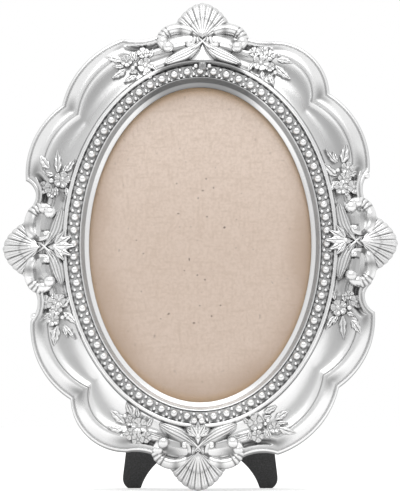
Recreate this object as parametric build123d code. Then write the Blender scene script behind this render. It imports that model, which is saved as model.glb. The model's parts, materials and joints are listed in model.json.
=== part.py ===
from build123d import *
import os
from math import asin, atan2, cos, degrees, hypot, radians, sin, sqrt

# Oval photo frame for a standard 127 x 178 mm print, standing on an easel leg.
# Lengths are in millimetres. The face is drawn in a flat frame: x to the right,
# y up along the face, z out of the face, with z = 0 on the back of the moulding.
# At the end the whole part leans back and stands on its bottom shell and two feet.

# Print that the frame holds, and the moulding round it
photo_width = 127.0
photo_height = 178.0
photo_lap = 4.3
side_breadth = 46.6
top_breadth = 47.2

# Stance
lean_angle = 8.0
leg_angle = 20.0
toe_cut = 0.6
overrun = 3.0
round_sides = 8
oval_sides = 72
arc_chords = 4

# Rings round the window
rim_width = 5.2
rim_lip_width = 0.9
rim_lip_height = 1.2
track_width = 6.6
ridge_width = 2.6
ridge_height = 3.0
ridge_bevel = 0.7

# Heights of the moulding above its back
edge_height = 3.0
lip_width = 1.6
lip_height = 4.0
crease_inset = 9.6
crease_height = 9.4
cove_height = 9.2
cove_middle_share = 0.5
track_height = 12.0
ledge_height = 8.5
sight_lip = 0.8

# Boards and glass in the rabbet
pocket_clearance = 0.5
glass_thickness = 2.0
insert_thickness = 0.8
panel_thickness = 3.0

# Outline of half the face, from the right shell over the top to the left shell.
# Each row is the angle round the oval in degrees, the distance from the window as a share
# of the breadth, and the bulge of the arc that leaves the point as a share of its chord.
# The other half is turned by 180 degrees.
outline_shares = [
    (9.7, 0.715, -0.204),
    (19.3, 0.787, 0.137),
    (43.1, 0.759, 0.205),
    (65.9, 0.771, -0.100),
    (77.9, 0.701, 0.070),
    (102.1, 0.701, -0.110),
    (115.1, 0.822, 0.131),
    (141.1, 0.767, 0.132),
    (163.3, 0.816, -0.283),
    (170.3, 0.715, 0.054),
]

# Bead ring
pearl_count = 72
pearl_radius = 2.1
pearl_height = 2.4
pearl_crown_share = 0.5
pearl_sides = 5
strip_thickness = 0.6
strip_clearance = 0.3

# Fan shells. Sizes of all ornaments along the face are drawn for this breadth of moulding.
ornament_breadth = 47.2
shell_radius = 19.6
shell_side_share = 0.86
shell_half_angle = 62.0
shell_flutes = 11
shell_root_radius = 2.6
shell_valley_share = 0.93
shell_shoulder_share = 0.80
rim_crown_height = 5.4
rim_valley_height = 3.6
shoulder_crown_height = 7.6
shoulder_valley_height = 5.6
root_crown_height = 13.4
root_valley_height = 12.2
side_hinge_shift = 1.6
top_hinge_shift = 1.2

# C-scrolls beside each shell, drawn from the outer ball over the arm to the inner curl
ornament_base = 1.6
scroll_start_x = 17.4
scroll_start_y = -7.0
scroll_half_width = 2.7
scroll_crown_rise = 5.2
scroll_edge_rise = 2.8
scroll_angle = 40.0
outer_curl_length = 11.5
outer_curl_angle = 100.0
arm_length = 11.0
arm_angle = 70.0
inner_curl_length = 9.5
inner_curl_angle = 140.0
outer_curl_shares = [0.75, 0.92]
arm_shares = [1.0, 1.0]
inner_curl_shares = [0.95, 0.80, 0.65, 0.50]
outer_ball_radius = 2.8
outer_ball_rise = 4.8
ball_sides = 6
ball_crown_share = 0.55

# Leaves: stations along the leaf, and its half width and height there
leaf_station_shares = [0.0, 0.3, 0.65, 1.0]
leaf_width_shares = [0.3, 0.9, 0.95, 0.08]
leaf_vein_rise = 1.1

# Palmettes
palmette_leaf_length = 20.0
palmette_leaf_width = 6.0
palmette_leaf_rise = 4.0
palmette_bend_angle = 10.0
palmette_root_drop = 6.2
palmette_root_offset = 2.4
bud_length = 10.5
bud_width = 6.4
bud_rise = 5.4
bead_cover = 0.4

# Flower sprays
spray_length = 27.0
petal_count = 5
petal_valley_share = 0.7
flower_tip_rise = 3.9
flower_valley_rise = 2.9
flower_heart_rise = 4.4
spray_ground_rise = 1.9
spray_ground_share = 0.45
spray_leaf_rise = 3.0

# Each flower: place across and along the spray and radius, as shares of its length
flower_shares = [
    (0.12, -0.14, 0.150),
    (0.08, 0.20, 0.135),
    (-0.14, -0.16, 0.140),
]
# Each leaf: root across and along, length and width as shares, heading and turn
spray_leaf_shares = [
    (0.10, -0.05, 0.70, 0.22, 82.0, 14.0),
    (-0.02, -0.06, 0.66, 0.20, 112.0, 10.0),
    (-0.16, -0.14, 0.52, 0.22, 128.0, -24.0),
]
# Sprays on half of the face: distance from their shell and from the window
right_spray_gap = 35.9
left_spray_gap = 39.6
top_right_spray_gap = 33.2
top_left_spray_gap = 34.8
side_spray_share = 0.480
top_spray_share = 0.505
side_spray_angle = 18.0
top_spray_angle = 106.0
opposite_names = {
    "flowers_right_upper": "flowers_left_lower",
    "flowers_top_right": "flowers_bottom_left",
    "flowers_top_left": "flowers_bottom_right",
    "flowers_left_upper": "flowers_right_lower",
}

# Easel leg and its hinge
hinge_rise = 15.0
hinge_offset = 1.8
hinge_width = 34.0
knuckle_radius = 1.5
pin_radius = 0.7
pin_head_radius = 1.2
pin_head_length = 0.8
running_clearance = 0.1
side_clearance = 0.3
leaf_thickness = 0.8
leaf_length = 13.0
middle_knuckle_width = 12.0
leg_thickness = 3.0
leg_top_width = 49.0
leg_foot_width = 85.0
leg_top_gap = 2.4
toe_width = 10.2
arch_depth = 8.1
toe_outer_radius = 6.5
toe_inner_radius = 3.0
rivet_radius = 1.2
rivet_head_radius = 2.3
rivet_head_height = 0.9
rivet_spacing = 22.0
rivet_setback = 8.0
rivet_depth = 2.0
stop_clearance = 0.3

# Turn buttons on the back of the moulding
button_length = 20.0
button_width = 7.0
button_thickness = 1.0
button_corner = 2.2
button_hole_radius = 1.6
button_spot_angles = [48.0, 132.0, 228.0, 312.0]
button_margin = 5.5
button_clearance = 0.3
screw_radius = 1.3
screw_head_radius = 2.8
screw_head_height = 1.4
screw_depth = 6.0

# Hanger on the back panel
hanger_drop = 19.0
hanger_width = 9.0
hanger_length = 15.0
hanger_thickness = 0.8
hanger_loop_radius = 2.1
hanger_bore_radius = 1.25
ring_wire = 1.4
ring_radius = 7.5
ring_sides = 20
hanger_rivet_setback = 9.5

sight_width = photo_width - 2 * photo_lap
sight_height = photo_height - 2 * photo_lap
face_width = sight_width + 2 * side_breadth
face_height = sight_height + 2 * top_breadth
half_width = face_width / 2
half_height = face_height / 2
sight_x = sight_width / 2
sight_y = sight_height / 2
track_inner = rim_width
track_outer = track_inner + track_width
ridge_outer = track_outer + ridge_width
filler_thickness = ledge_height - glass_thickness - insert_thickness - panel_thickness
opening_angle = lean_angle + leg_angle
hanger_rise = photo_height / 2 - hanger_drop
arch_radius = hypot(leg_foot_width / 2 - toe_width, arch_depth)


def point_on(radius, angle):
    """Point of the face at a radius and an angle in degrees."""
    return Vector(radius * cos(radians(angle)), radius * sin(radians(angle)))


def lowered(point, height):
    """Point straight below or above another one."""
    return Vector(point.X, point.Y, height)


def round_bar(radius):
    """Section of a small round bar, drawn with a few flats inside its circle."""
    return RegularPolygon(radius, round_sides)


def round_hole(radius):
    """Section of a small round hole, drawn with a few flats outside its circle."""
    return RegularPolygon(radius, round_sides, major_radius=False)


def polygon(points):
    """Flat face through points."""
    return Face(Wire.make_polygon(points))


def half_turned(shape):
    """The same piece on the opposite side of the face."""
    return Rot(0, 0, 180) * shape


def oval_points(width, height, level):
    """Points of an oval of given size at a level, close enough to look smooth."""
    turns = [radians(360 * k / oval_sides) for k in range(oval_sides)]
    return [Vector(width / 2 * cos(t), height / 2 * sin(t), level) for t in turns]


def oval_board(width, height, low, high):
    """Flat oval board between two levels."""
    outline = polygon(oval_points(width, height, low))
    return Solid.extrude(outline, Vector(0, 0, high - low))


def oval_prism(grow, low, high):
    """Upright oval block that runs a distance outside the sight edge."""
    return oval_board(sight_width + 2 * grow, sight_height + 2 * grow, low, high)


def spot_on(angle, share):
    """Point at an angle round the oval, a share of the breadth outside the window."""
    across = (sight_x + share * side_breadth) * cos(radians(angle))
    along = (sight_y + share * top_breadth) * sin(radians(angle))
    return Vector(across, along)


# Scalloped outline: arcs known by their circle, inset by changing the radius
def outline_arcs():
    """Circles of the outline arcs: centre, radius, +1 for a lobe or -1 for a dip."""
    half = [(spot_on(angle, share), bulge) for angle, share, bulge in outline_shares]
    points = half + [(-p, b) for p, b in half]
    arcs = []
    for index, (start, bulge) in enumerate(points):
        end = points[(index + 1) % len(points)][0]
        chord = (end - start).length
        sagitta = abs(bulge) * chord
        radius = (chord * chord / 4 + sagitta * sagitta) / (2 * sagitta)
        outward = Vector(end.Y - start.Y, start.X - end.X).normalized()
        sign = 1 if bulge > 0 else -1
        centre = (start + end) * 0.5 + outward * (sign * (sagitta - radius))
        arcs.append((centre, radius, sign, start))
    return arcs


def circle_crossing(first, second, near):
    """Crossing of two circles that lies nearer to a given point."""
    (c1, r1), (c2, r2) = first, second
    gap = (c2 - c1).length
    along = (gap * gap + r1 * r1 - r2 * r2) / (2 * gap)
    across = sqrt(max(r1 * r1 - along * along, 0))
    axis = (c2 - c1) * (1 / gap)
    side = Vector(-axis.Y, axis.X) * across
    foot = c1 + axis * along
    return min((foot + side, foot - side), key=lambda p: (p - near).length)


def outline_ring(inset):
    """Points of the outline at an inset from the outer edge, a few chords to each arc."""
    arcs = outline_arcs()
    circles = [(c, r - s * inset) for c, r, s, _ in arcs]
    corners = [circle_crossing(circles[i - 1], circles[i], arcs[i][3]) for i in range(len(arcs))]
    ring = []
    for index, (centre, _) in enumerate(circles):
        start = corners[index] - centre
        end = corners[(index + 1) % len(corners)] - centre
        sweep = start.get_signed_angle(end, Vector(0, 0, 1))
        ring += [centre + start.rotate(Axis.Z, sweep * k / arc_chords) for k in range(arc_chords)]
    return ring


def oval_ring(ring, grow):
    """Points on an oval outside the sight edge, in the directions of another ring."""
    a, b = sight_x + grow, sight_y + grow
    return [p * (1 / hypot(p.X / a, p.Y / b)) for p in ring]


def cove_ring(share):
    """Ring between the crease (share 0) and the foot of the ridge (share 1)."""
    crease = outline_ring(crease_inset)
    foot = oval_ring(crease, ridge_outer)
    return [p * (1 - share) + q * share for p, q in zip(crease, foot)]


def ring_body(rings):
    """Solid like a picture frame: a loop of rings of points, each joined to the next."""
    faces = []
    for here, there in zip(rings, rings[1:] + rings[:1]):
        if here[0].Z == there[0].Z:
            outer, inner = sorted((here, there), key=lambda ring: -ring[0].length)
            faces.append(Face(Wire.make_polygon(outer), [Wire.make_polygon(inner)]))
            continue
        for k in range(len(here)):
            faces.append(polygon([here[k - 1], here[k], there[k]]))
            faces.append(polygon([here[k - 1], there[k], there[k - 1]]))
    return Solid(Shell(faces))


def turn_button_spots():
    """Screw places of the turn buttons and the direction towards the window."""
    spots = []
    for angle in button_spot_angles:
        a = photo_width / 2 + pocket_clearance + button_margin
        b = photo_height / 2 + pocket_clearance + button_margin
        spot = Vector(a * cos(radians(angle)), b * sin(radians(angle)))
        normal = Vector(spot.X / (a * a), spot.Y / (b * b)).normalized()
        spots.append((spot, -normal))
    return spots


def moulding():
    """Oval body: rabbet, rim, bead track, ridge, cove, crease and scalloped band."""
    crease = outline_ring(crease_inset)
    pocket = pocket_clearance + photo_lap
    ridge_top = track_height + ridge_height
    lip_top = track_height + rim_lip_height
    profile = [
        (oval_ring(crease, pocket), 0),
        (oval_ring(crease, pocket), ledge_height),
        (oval_ring(crease, 0), ledge_height),
        (oval_ring(crease, 0), ledge_height + sight_lip),
        (oval_ring(crease, track_inner - rim_lip_width), lip_top),
        (oval_ring(crease, track_inner), lip_top),
        (oval_ring(crease, track_inner), track_height),
        (oval_ring(crease, track_outer), track_height),
        (oval_ring(crease, track_outer + ridge_bevel), ridge_top),
        (oval_ring(crease, ridge_outer - ridge_bevel), ridge_top),
        (oval_ring(crease, ridge_outer), track_height),
        (cove_ring(cove_middle_share), cove_height),
        (crease, crease_height),
        (outline_ring(lip_width), lip_height),
        (outline_ring(0), edge_height),
        (outline_ring(0), 0),
    ]
    body = ring_body([[lowered(p, level) for p in ring] for ring, level in profile])
    hole = extrude(round_hole(screw_radius + running_clearance), amount=screw_depth)
    for spot, _ in turn_button_spots():
        body -= Pos(spot.X, spot.Y) * hole
    return body


def frustum(radius, crown_share, sides, low, high):
    """Bead of a few facets: a polygon that narrows to its crown."""
    turns = [360 * k / sides for k in range(sides)]
    foot = [lowered(point_on(radius, turn), low) for turn in turns]
    crown = [lowered(point_on(radius * crown_share, turn), high) for turn in turns]
    faces = [polygon(foot), polygon(crown)]
    for k in range(sides):
        faces.append(polygon([foot[k - 1], foot[k], crown[k], crown[k - 1]]))
    return Solid(Shell(faces))


def bead_ring():
    """Oval strip in the track with a row of pearls."""
    top = track_height + strip_thickness
    strip = oval_prism(track_outer - strip_clearance, track_height, top)
    strip -= oval_prism(track_inner + strip_clearance, track_height, top)
    middle = (track_inner + track_outer) / 2
    line = Edge.make_ellipse(sight_x + middle, sight_y + middle, Plane.XY.offset(top))
    pearl = frustum(pearl_radius, pearl_crown_share, pearl_sides, 0, pearl_height)
    pearls = []
    for index in range(pearl_count):
        travelled = line.length * index / pearl_count
        place = line.position_at(travelled, PositionMode.LENGTH)
        turn = line.tangent_angle_at(travelled, PositionMode.LENGTH)
        pearls.append(Pos(place) * Rot(0, 0, turn) * pearl)
    return strip.fuse(*pearls)


def crease_reach(direction):
    """Distance of the crease from the middle of the face in a direction in degrees."""
    polar = sorted((degrees(atan2(p.Y, p.X)), p.length) for p in outline_ring(crease_inset))
    polar = [(polar[-1][0] - 360, polar[-1][1])] + polar + [(polar[0][0] + 360, polar[0][1])]
    for (low, near), (high, far) in zip(polar, polar[1:]):
        if low <= direction <= high:
            return near + (far - near) * (direction - low) / (high - low)


def face_level(point):
    """Height of the moulding under a point: cove between ridge and crease, then the band."""
    foot = oval_ring([point], ridge_outer)[0].length
    crease = crease_reach(degrees(atan2(point.Y, point.X)))
    if point.length <= crease:
        share = max((point.length - foot) / (crease - foot), 0)
        return track_height + (crease_height - track_height) * share
    fall = (crease_height - lip_height) / (crease_inset - lip_width)
    return max(crease_height - fall * (point.length - crease), edge_height)


def seated(seat, point, rise):
    """Point of an ornament on the face, a rise above the moulding there."""
    origin, heading, side, size = seat
    turned = (Vector(side * point.X, point.Y) * size).rotate(Axis.Z, heading)
    spot = origin + turned
    return Vector(spot.X, spot.Y, face_level(spot) + rise)


def relief(rows, base):
    """Closed solid under a grid of points, with upright sides down to a flat base."""
    faces = []
    for low, high in zip(rows, rows[1:]):
        for k in range(len(low) - 1):
            faces.append(polygon([low[k], low[k + 1], high[k + 1]]))
            faces.append(polygon([low[k], high[k + 1], high[k]]))
    last = [row[-1] for row in rows[1:-1]]
    first = [row[0] for row in rows[1:-1]]
    border = rows[0] + last + rows[-1][::-1] + first[::-1]
    for here, there in zip(border, border[1:] + border[:1]):
        faces.append(polygon([here, there, lowered(there, base), lowered(here, base)]))
    faces.append(polygon([lowered(p, base) for p in border]))
    return Solid(Shell(faces))


def ball(seat, point, radius, rise):
    """Faceted ball end that stands on the moulding."""
    top = seated(seat, point, rise)
    return Pos(top.X, top.Y) * frustum(radius * seat[3], ball_crown_share, ball_sides, ornament_base, top.Z)


def arc_walk(start, heading, length, turn, share):
    """Point and heading after a share of an arc of given length and total turn."""
    swept = radians(turn) * share
    travelled = length * share
    chord = travelled if swept == 0 else travelled * sin(swept / 2) / (swept / 2)
    direction = radians(heading) + swept / 2
    return start + Vector(cos(direction), sin(direction)) * chord, heading + degrees(swept)


def beside(place, heading, offset):
    """Point beside a path, offset to its left."""
    side = radians(heading + 90)
    return Vector(place.X + offset * cos(side), place.Y + offset * sin(side))


def leaf(seat, start, heading, length, turn, width, rise):
    """Pointed leaf with a raised mid vein along an arc."""
    rows = []
    for station, share in zip(leaf_station_shares, leaf_width_shares):
        place, facing = arc_walk(start, heading, length, turn, station)
        half = width / 2 * share
        rows.append([
            seated(seat, beside(place, facing, half), rise - leaf_vein_rise),
            seated(seat, place, rise),
            seated(seat, beside(place, facing, -half), rise - leaf_vein_rise),
        ])
    return relief(rows, ornament_base)


def shell(seat):
    """Fan of flutes round its hinge, opening away from the window."""
    rows = [[], [], []]
    count = 2 * shell_flutes
    for k in range(count + 1):
        angle = shell_half_angle * (2 * k / count - 1)
        reach = shell_radius * (1 - (1 - shell_side_share) * (angle / shell_half_angle) ** 2)
        crown = k % 2 == 1
        heights = (root_valley_height, shoulder_valley_height, rim_valley_height)
        if crown:
            heights = (root_crown_height, shoulder_crown_height, rim_crown_height)
        rim = reach if crown else reach * shell_valley_share
        distances = (shell_root_radius, reach * shell_shoulder_share, rim)
        for row, distance, height in zip(rows, distances, heights):
            row.append(lowered(seated(seat, point_on(distance, 90 + angle), 0), height))
    return relief(rows, ornament_base)


def scroll_arm(seat):
    """C-scroll: outer ball, thick arm that hugs the shell, inner curl."""
    spot, heading = Vector(scroll_start_x, scroll_start_y), scroll_angle
    outer_ball = ball(seat, spot, outer_ball_radius, outer_ball_rise)
    rows = []
    legs = (
        (outer_curl_length, outer_curl_angle, outer_curl_shares),
        (arm_length, arm_angle, arm_shares),
        (inner_curl_length, inner_curl_angle, inner_curl_shares),
    )
    for length, turn, shares in legs:
        for step, share in enumerate(shares):
            place, facing = arc_walk(spot, heading, length, turn, step / len(shares))
            half = scroll_half_width * share
            rows.append([
                seated(seat, beside(place, facing, half), scroll_edge_rise),
                seated(seat, place, scroll_crown_rise),
                seated(seat, beside(place, facing, -half), scroll_edge_rise),
            ])
        spot, heading = arc_walk(spot, heading, length, turn, 1)
    return relief(rows, ornament_base).fuse(outer_ball)


def both_hands(maker, seat):
    """Pieces made for both sides of an axis of the face."""
    origin, heading, side, size = seat
    return [maker((origin, heading, hand, size)) for hand in (side, -side)]


def palmette_leaf(seat):
    """Long leaf that springs sideways from the foot of the palmette."""
    origin, _, _, size = seat
    room = (origin.length - oval_ring([origin], ridge_outer)[0].length) / size - palmette_root_drop
    slope = degrees(asin(room / palmette_leaf_length))
    root = Vector(palmette_root_offset, -palmette_root_drop)
    return leaf(seat, root, -slope - palmette_bend_angle / 2, palmette_leaf_length, palmette_bend_angle,
                palmette_leaf_width, palmette_leaf_rise)


def palmette(seat):
    """Bud that points to the window between two long leaves."""
    bud_root = Vector(0, -palmette_root_drop + palmette_root_offset)
    bud = leaf(seat, bud_root, -90, bud_length, 0, bud_width, bud_rise)
    return bud.fuse(*both_hands(palmette_leaf, seat))


def flower(seat, point, radius):
    """Five-petal rosette: petals that dip between their tips and rise to a heart."""
    centre = seated(seat, point, 0)
    radius = radius * seat[3]
    heart = centre + Vector(0, 0, flower_heart_rise)
    outer = []
    for petal in range(petal_count):
        middle = 360 * petal / petal_count
        tip = centre + point_on(radius, middle)
        valley = centre + point_on(radius * petal_valley_share, middle + 180 / petal_count)
        outer.append(tip + Vector(0, 0, flower_tip_rise))
        outer.append(valley + Vector(0, 0, flower_valley_rise))
    low = [lowered(p, ornament_base) for p in outer]
    faces = [polygon(low)]
    for k, corner in enumerate(outer):
        after = (k + 1) % len(outer)
        faces.append(polygon([corner, outer[after], heart]))
        faces.append(polygon([corner, outer[after], low[after], low[k]]))
    return Solid(Shell(faces))


def spray_ground(seat):
    """Low ground from the lower flowers to the middle of the leaves, which carries the spray."""
    (left, low, _), _, (right, high, _) = flower_shares
    feet = [Vector(left, low), Vector(left + right, low + high) * 0.5, Vector(right, high)]
    rows = []
    for foot, (x, y, long, _, heading, turn) in zip(feet, spray_leaf_shares):
        middle, _ = arc_walk(Vector(x, y), heading, long, turn, spray_ground_share)
        rows.append([seated(seat, place * spray_length, spray_ground_rise) for place in (foot, middle)])
    return relief(rows, ornament_base)


def spray(seat):
    """Flowers across the moulding with leaves that point away from the shell."""
    pieces = [spray_ground(seat)]
    for x, y, radius in flower_shares:
        place = Vector(x, y) * spray_length
        pieces.append(flower(seat, place, radius * spray_length))
    for x, y, long, wide, heading, turn in spray_leaf_shares:
        root = Vector(x, y) * spray_length
        pieces.append(leaf(seat, root, heading, long * spray_length, turn,
                           wide * spray_length, spray_leaf_rise))
    return pieces[0].fuse(*pieces[1:])


def bead_cover_body():
    """Room above the beads that an ornament over the track leaves free."""
    top = track_height + strip_thickness + pearl_height + bead_cover
    outer = oval_prism(track_outer + ridge_bevel, track_height, top)
    return outer - oval_prism(-overrun, track_height, top)


def ridge_room():
    """Room over the window, the beads and the ridge, which the sprays leave free."""
    top = track_height + ridge_height + flower_heart_rise
    return oval_prism(ridge_outer, ornament_base, top)


def side_spot(along, share):
    """Point on the right at a height, a share of the breadth outside the window."""
    a, b = sight_x + share * side_breadth, sight_y + share * top_breadth
    return Vector(a * sqrt(1 - (along / b) ** 2), along)


def top_spot(across, share):
    """Point at the top at a distance across, a share of the breadth outside the window."""
    a, b = sight_x + share * side_breadth, sight_y + share * top_breadth
    return Vector(across, b * sqrt(1 - (across / a) ** 2))


def shell_seats():
    """Seats of the top and the right shell, at their hinges, with their size."""
    top_size, side_size = top_breadth / ornament_breadth, side_breadth / ornament_breadth
    top_hinge = Vector(top_hinge_shift, half_height - shell_radius * top_size)
    right_hinge = Vector(half_width - shell_radius * side_size, side_hinge_shift)
    return {
        ("top", "bottom"): (top_hinge, 0, 1, top_size),
        ("right", "left"): (right_hinge, -90, 1, side_size),
    }


def spray_seats():
    """Seats of the sprays on half of the face, each beside its shell, with their size."""
    size = min(side_breadth, top_breadth) / ornament_breadth
    right = side_spot(side_hinge_shift + right_spray_gap, side_spray_share)
    left = side_spot(left_spray_gap - side_hinge_shift, side_spray_share)
    top_right = top_spot(top_hinge_shift + top_right_spray_gap, top_spray_share)
    top_left = top_spot(top_hinge_shift - top_left_spray_gap, top_spray_share)
    return {
        "flowers_right_upper": (right, side_spray_angle, 1, size),
        "flowers_top_right": (top_right, -top_spray_angle, -1, size),
        "flowers_top_left": (top_left, top_spray_angle, 1, size),
        "flowers_left_upper": (Vector(-left.X, left.Y), -side_spray_angle, -1, size),
    }


def ornaments(body):
    """Carved pieces seated on the moulding, each cut to the surfaces that carry it."""
    cover, room = bead_cover_body(), ridge_room()
    pieces = {}
    for names, seat in shell_seats().items():
        pair = Compound(both_hands(scroll_arm, seat)) - body
        fan = shell(seat) - body - pair
        bud = palmette(seat) - body - pair - fan - cover
        for kind, piece in (("scrolls", pair), ("shell", fan), ("palmette", bud)):
            pieces[f"{kind}_{names[0]}"] = piece
            pieces[f"{kind}_{names[1]}"] = half_turned(piece)
    sprays = {}
    for name, seat in spray_seats().items():
        carved = spray(seat) - body - room
        for piece in pieces.values():
            if piece.bounding_box().overlaps(carved.bounding_box()):
                carved -= piece
        sprays[name] = carved
        sprays[opposite_names[name]] = half_turned(carved)
    return pieces | sprays


def panel_rivet_places():
    """Places of the rivets that hold the upper hinge leaf to the panel."""
    return [Vector(s * rivet_spacing / 2, hinge_rise + rivet_setback) for s in (-1, 1)]


def leg_rivet_places():
    """Places of the rivets that hold the lower hinge leaf to the leg."""
    return [Vector(s * rivet_spacing / 2, hinge_rise - rivet_setback) for s in (-1, 1)]


def drilled(shape, places, radius, low, high):
    """Shape with round holes between two heights."""
    for place in places:
        shape -= Pos(place.X, place.Y, low) * extrude(round_hole(radius), amount=high - low)
    return shape


def knuckle(left, right, bore):
    """Hinge barrel along x round the hinge axis, with its bore."""
    plane = Plane((left, hinge_rise, -hinge_offset), x_dir=(0, 1, 0), z_dir=(1, 0, 0))
    return extrude(plane * (round_bar(knuckle_radius) - round_hole(bore)), amount=right - left)


def plate(left, right, bottom, top, low, high):
    """Flat plate between the given sides and heights."""
    middle = Pos((left + right) / 2, (bottom + top) / 2, low)
    return extrude(middle * Rectangle(right - left, top - bottom), amount=high - low)


def hinge_axis():
    """Axis of the leg hinge on the face frame."""
    return Axis((0, hinge_rise, -hinge_offset), (1, 0, 0))


def panel_leaf():
    """Upper hinge leaf with two barrels, flat on the back panel."""
    half = hinge_width / 2
    inner = middle_knuckle_width / 2 + side_clearance
    bore = pin_radius + running_clearance
    leaf_body = plate(-half, half, hinge_rise, hinge_rise + leaf_length, -leaf_thickness, 0)
    gap_top = hinge_rise + knuckle_radius + side_clearance
    leaf_body -= plate(-inner, inner, hinge_rise - overrun, gap_top, -leaf_thickness, 0)
    leaf_body += [knuckle(-half, -inner, bore), knuckle(inner, half, bore)]
    return drilled(leaf_body, panel_rivet_places(), rivet_radius + running_clearance, -leaf_thickness, 0)


def leg_leaf_levels():
    """Inner and outer height of the lower leaf while the leg is folded."""
    outer = -hinge_offset - knuckle_radius
    return outer + leaf_thickness, outer


def leg_leaf():
    """Lower hinge leaf with one barrel and a stop tab above the axis, folded."""
    inner_level, outer_level = leg_leaf_levels()
    half = middle_knuckle_width / 2
    swing = radians(opening_angle)
    inner_reach = -(inner_level + hinge_offset)
    tab_room = hinge_offset - leaf_thickness - stop_clearance
    tab = (tab_room + inner_reach * cos(swing)) / sin(swing)
    bottom = hinge_rise - leaf_length
    leaf_body = plate(-hinge_width / 2, hinge_width / 2, bottom, hinge_rise - leg_top_gap,
                      outer_level, inner_level)
    leaf_body += [
        plate(-half, half, bottom, hinge_rise + tab, outer_level, inner_level),
        knuckle(-half, half, pin_radius + running_clearance),
    ]
    bore = Plane((-half, hinge_rise, -hinge_offset), x_dir=(0, 1, 0), z_dir=(1, 0, 0))
    leaf_body -= extrude(bore * round_hole(pin_radius + running_clearance), amount=middle_knuckle_width)
    return drilled(leaf_body, leg_rivet_places(), rivet_radius + running_clearance, outer_level, inner_level)


def hinge_pin():
    """Pin through all barrels with a small head at each end."""
    half = hinge_width / 2
    plane = Plane((-half, hinge_rise, -hinge_offset), x_dir=(0, 1, 0), z_dir=(1, 0, 0))
    pin = extrude(plane * round_bar(pin_radius), amount=hinge_width)
    for start in (-half - pin_head_length, half):
        end_plane = Plane((start, hinge_rise, -hinge_offset), x_dir=(0, 1, 0), z_dir=(1, 0, 0))
        pin += extrude(end_plane * round_bar(pin_head_radius), amount=pin_head_length)
    return pin


def hinge_height():
    """Height of the hinge axis above the table."""
    lean = radians(lean_angle)
    return (hinge_rise + half_height) * cos(lean) - hinge_offset * sin(lean) - toe_cut


def leg_length():
    """Length of the leg below the hinge axis, past the table by the toe cut."""
    slant = radians(leg_angle)
    inner_face = knuckle_radius
    flat = leg_thickness * sin(slant)
    return (hinge_height() + inner_face * sin(slant) + flat) / cos(slant)


def easel_leg():
    """Board that widens to two rounded feet with an arch between them, folded."""
    length = leg_length()
    _, outer_level = leg_leaf_levels()
    top, foot = leg_top_width / 2, leg_foot_width / 2
    outline = make_face(Polyline((-top, -leg_top_gap), (top, -leg_top_gap), (foot, -length),
                                 (-foot, -length), close=True))
    outline -= Pos(0, -length - arch_depth) * Circle(arch_radius)
    toes = [v for v in outline.vertices() if v.Y < -length + toe_cut]
    outer_toes = [v for v in toes if abs(v.X) > foot - toe_cut]
    outline = fillet(outer_toes, toe_outer_radius)
    inner_toes = [v for v in outline.vertices() if v.Y < -length + toe_cut and abs(v.X) < arch_radius]
    outline = fillet(inner_toes, toe_inner_radius)
    board = extrude(Pos(0, hinge_rise, outer_level - leg_thickness) * outline, amount=leg_thickness)
    return drilled(board, leg_rivet_places(), rivet_radius + running_clearance,
                   outer_level - leg_thickness, outer_level)


def rivet(head_level, tail_level):
    """Rivet whose head stands behind a level and whose shank ends at another."""
    head = extrude(round_bar(rivet_head_radius), amount=rivet_head_height)
    head = Pos(0, 0, head_level - rivet_head_height) * head
    return head + extrude(Pos(0, 0, head_level) * round_bar(rivet_radius), amount=tail_level - head_level)


def turn_button(spot, inward):
    """Flat button round its screw, turned over the edge of the back panel."""
    lap = button_length / 2 - button_width / 2
    blank = Rectangle(button_length, button_width)
    blank = chamfer(blank.vertices(), button_corner)
    blank = Pos(lap, 0) * blank - round_hole(button_hole_radius)
    body = extrude(Pos(0, 0, -button_clearance - button_thickness) * blank, amount=button_thickness)
    return Pos(spot.X, spot.Y) * Rot(0, 0, degrees(atan2(inward.Y, inward.X))) * body


def button_screw(spot):
    """Screw that holds a turn button with running clearance."""
    under_head = -2 * button_clearance - button_thickness
    head = extrude(round_bar(screw_head_radius), amount=screw_head_height)
    head = Pos(0, 0, under_head - screw_head_height) * head
    shank = extrude(Pos(0, 0, under_head) * round_bar(screw_radius), amount=screw_depth - under_head)
    return Pos(spot.X, spot.Y) * (head + shank)


def hanger_strap():
    """Strap on the panel with a loop at its top for the ring."""
    half = hanger_width / 2
    level = -hanger_loop_radius
    strap = plate(-half, half, hanger_rise - hanger_length, hanger_rise, -hanger_thickness, 0)
    plane = Plane((-half, hanger_rise, level), x_dir=(0, 1, 0), z_dir=(1, 0, 0))
    strap += extrude(plane * round_bar(hanger_loop_radius), amount=hanger_width)
    strap -= extrude(plane * round_hole(hanger_bore_radius), amount=hanger_width)
    place = Vector(0, hanger_rise - hanger_rivet_setback)
    return drilled(strap, [place], rivet_radius + running_clearance, -hanger_thickness, 0)


def hanger_ring():
    """Flat D-ring whose straight bar turns in the loop, hanging along the panel."""
    outer = ring_radius + ring_wire / 2
    inner = ring_radius - ring_wire / 2
    bar_top = ring_wire / 2
    rounded = RegularPolygon(outer, ring_sides) - Pos(0, outer) * Rectangle(2 * outer, 2 * outer)
    upper = Pos(0, bar_top / 2) * Rectangle(2 * outer, bar_top)
    hole = RegularPolygon(inner, ring_sides) - Pos(0, outer - bar_top) * Rectangle(2 * outer, 2 * outer)
    face = rounded + upper - hole
    return extrude(Pos(0, hanger_rise, -hanger_loop_radius - ring_wire / 2) * face, amount=ring_wire)


def back_panel():
    """Panel that closes the rabbet, with blind holes for its rivets."""
    board = oval_board(photo_width, photo_height, 0, panel_thickness)
    places = panel_rivet_places() + [Vector(0, hanger_rise - hanger_rivet_setback)]
    return drilled(board, places, rivet_radius + running_clearance, 0, rivet_depth)


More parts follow.
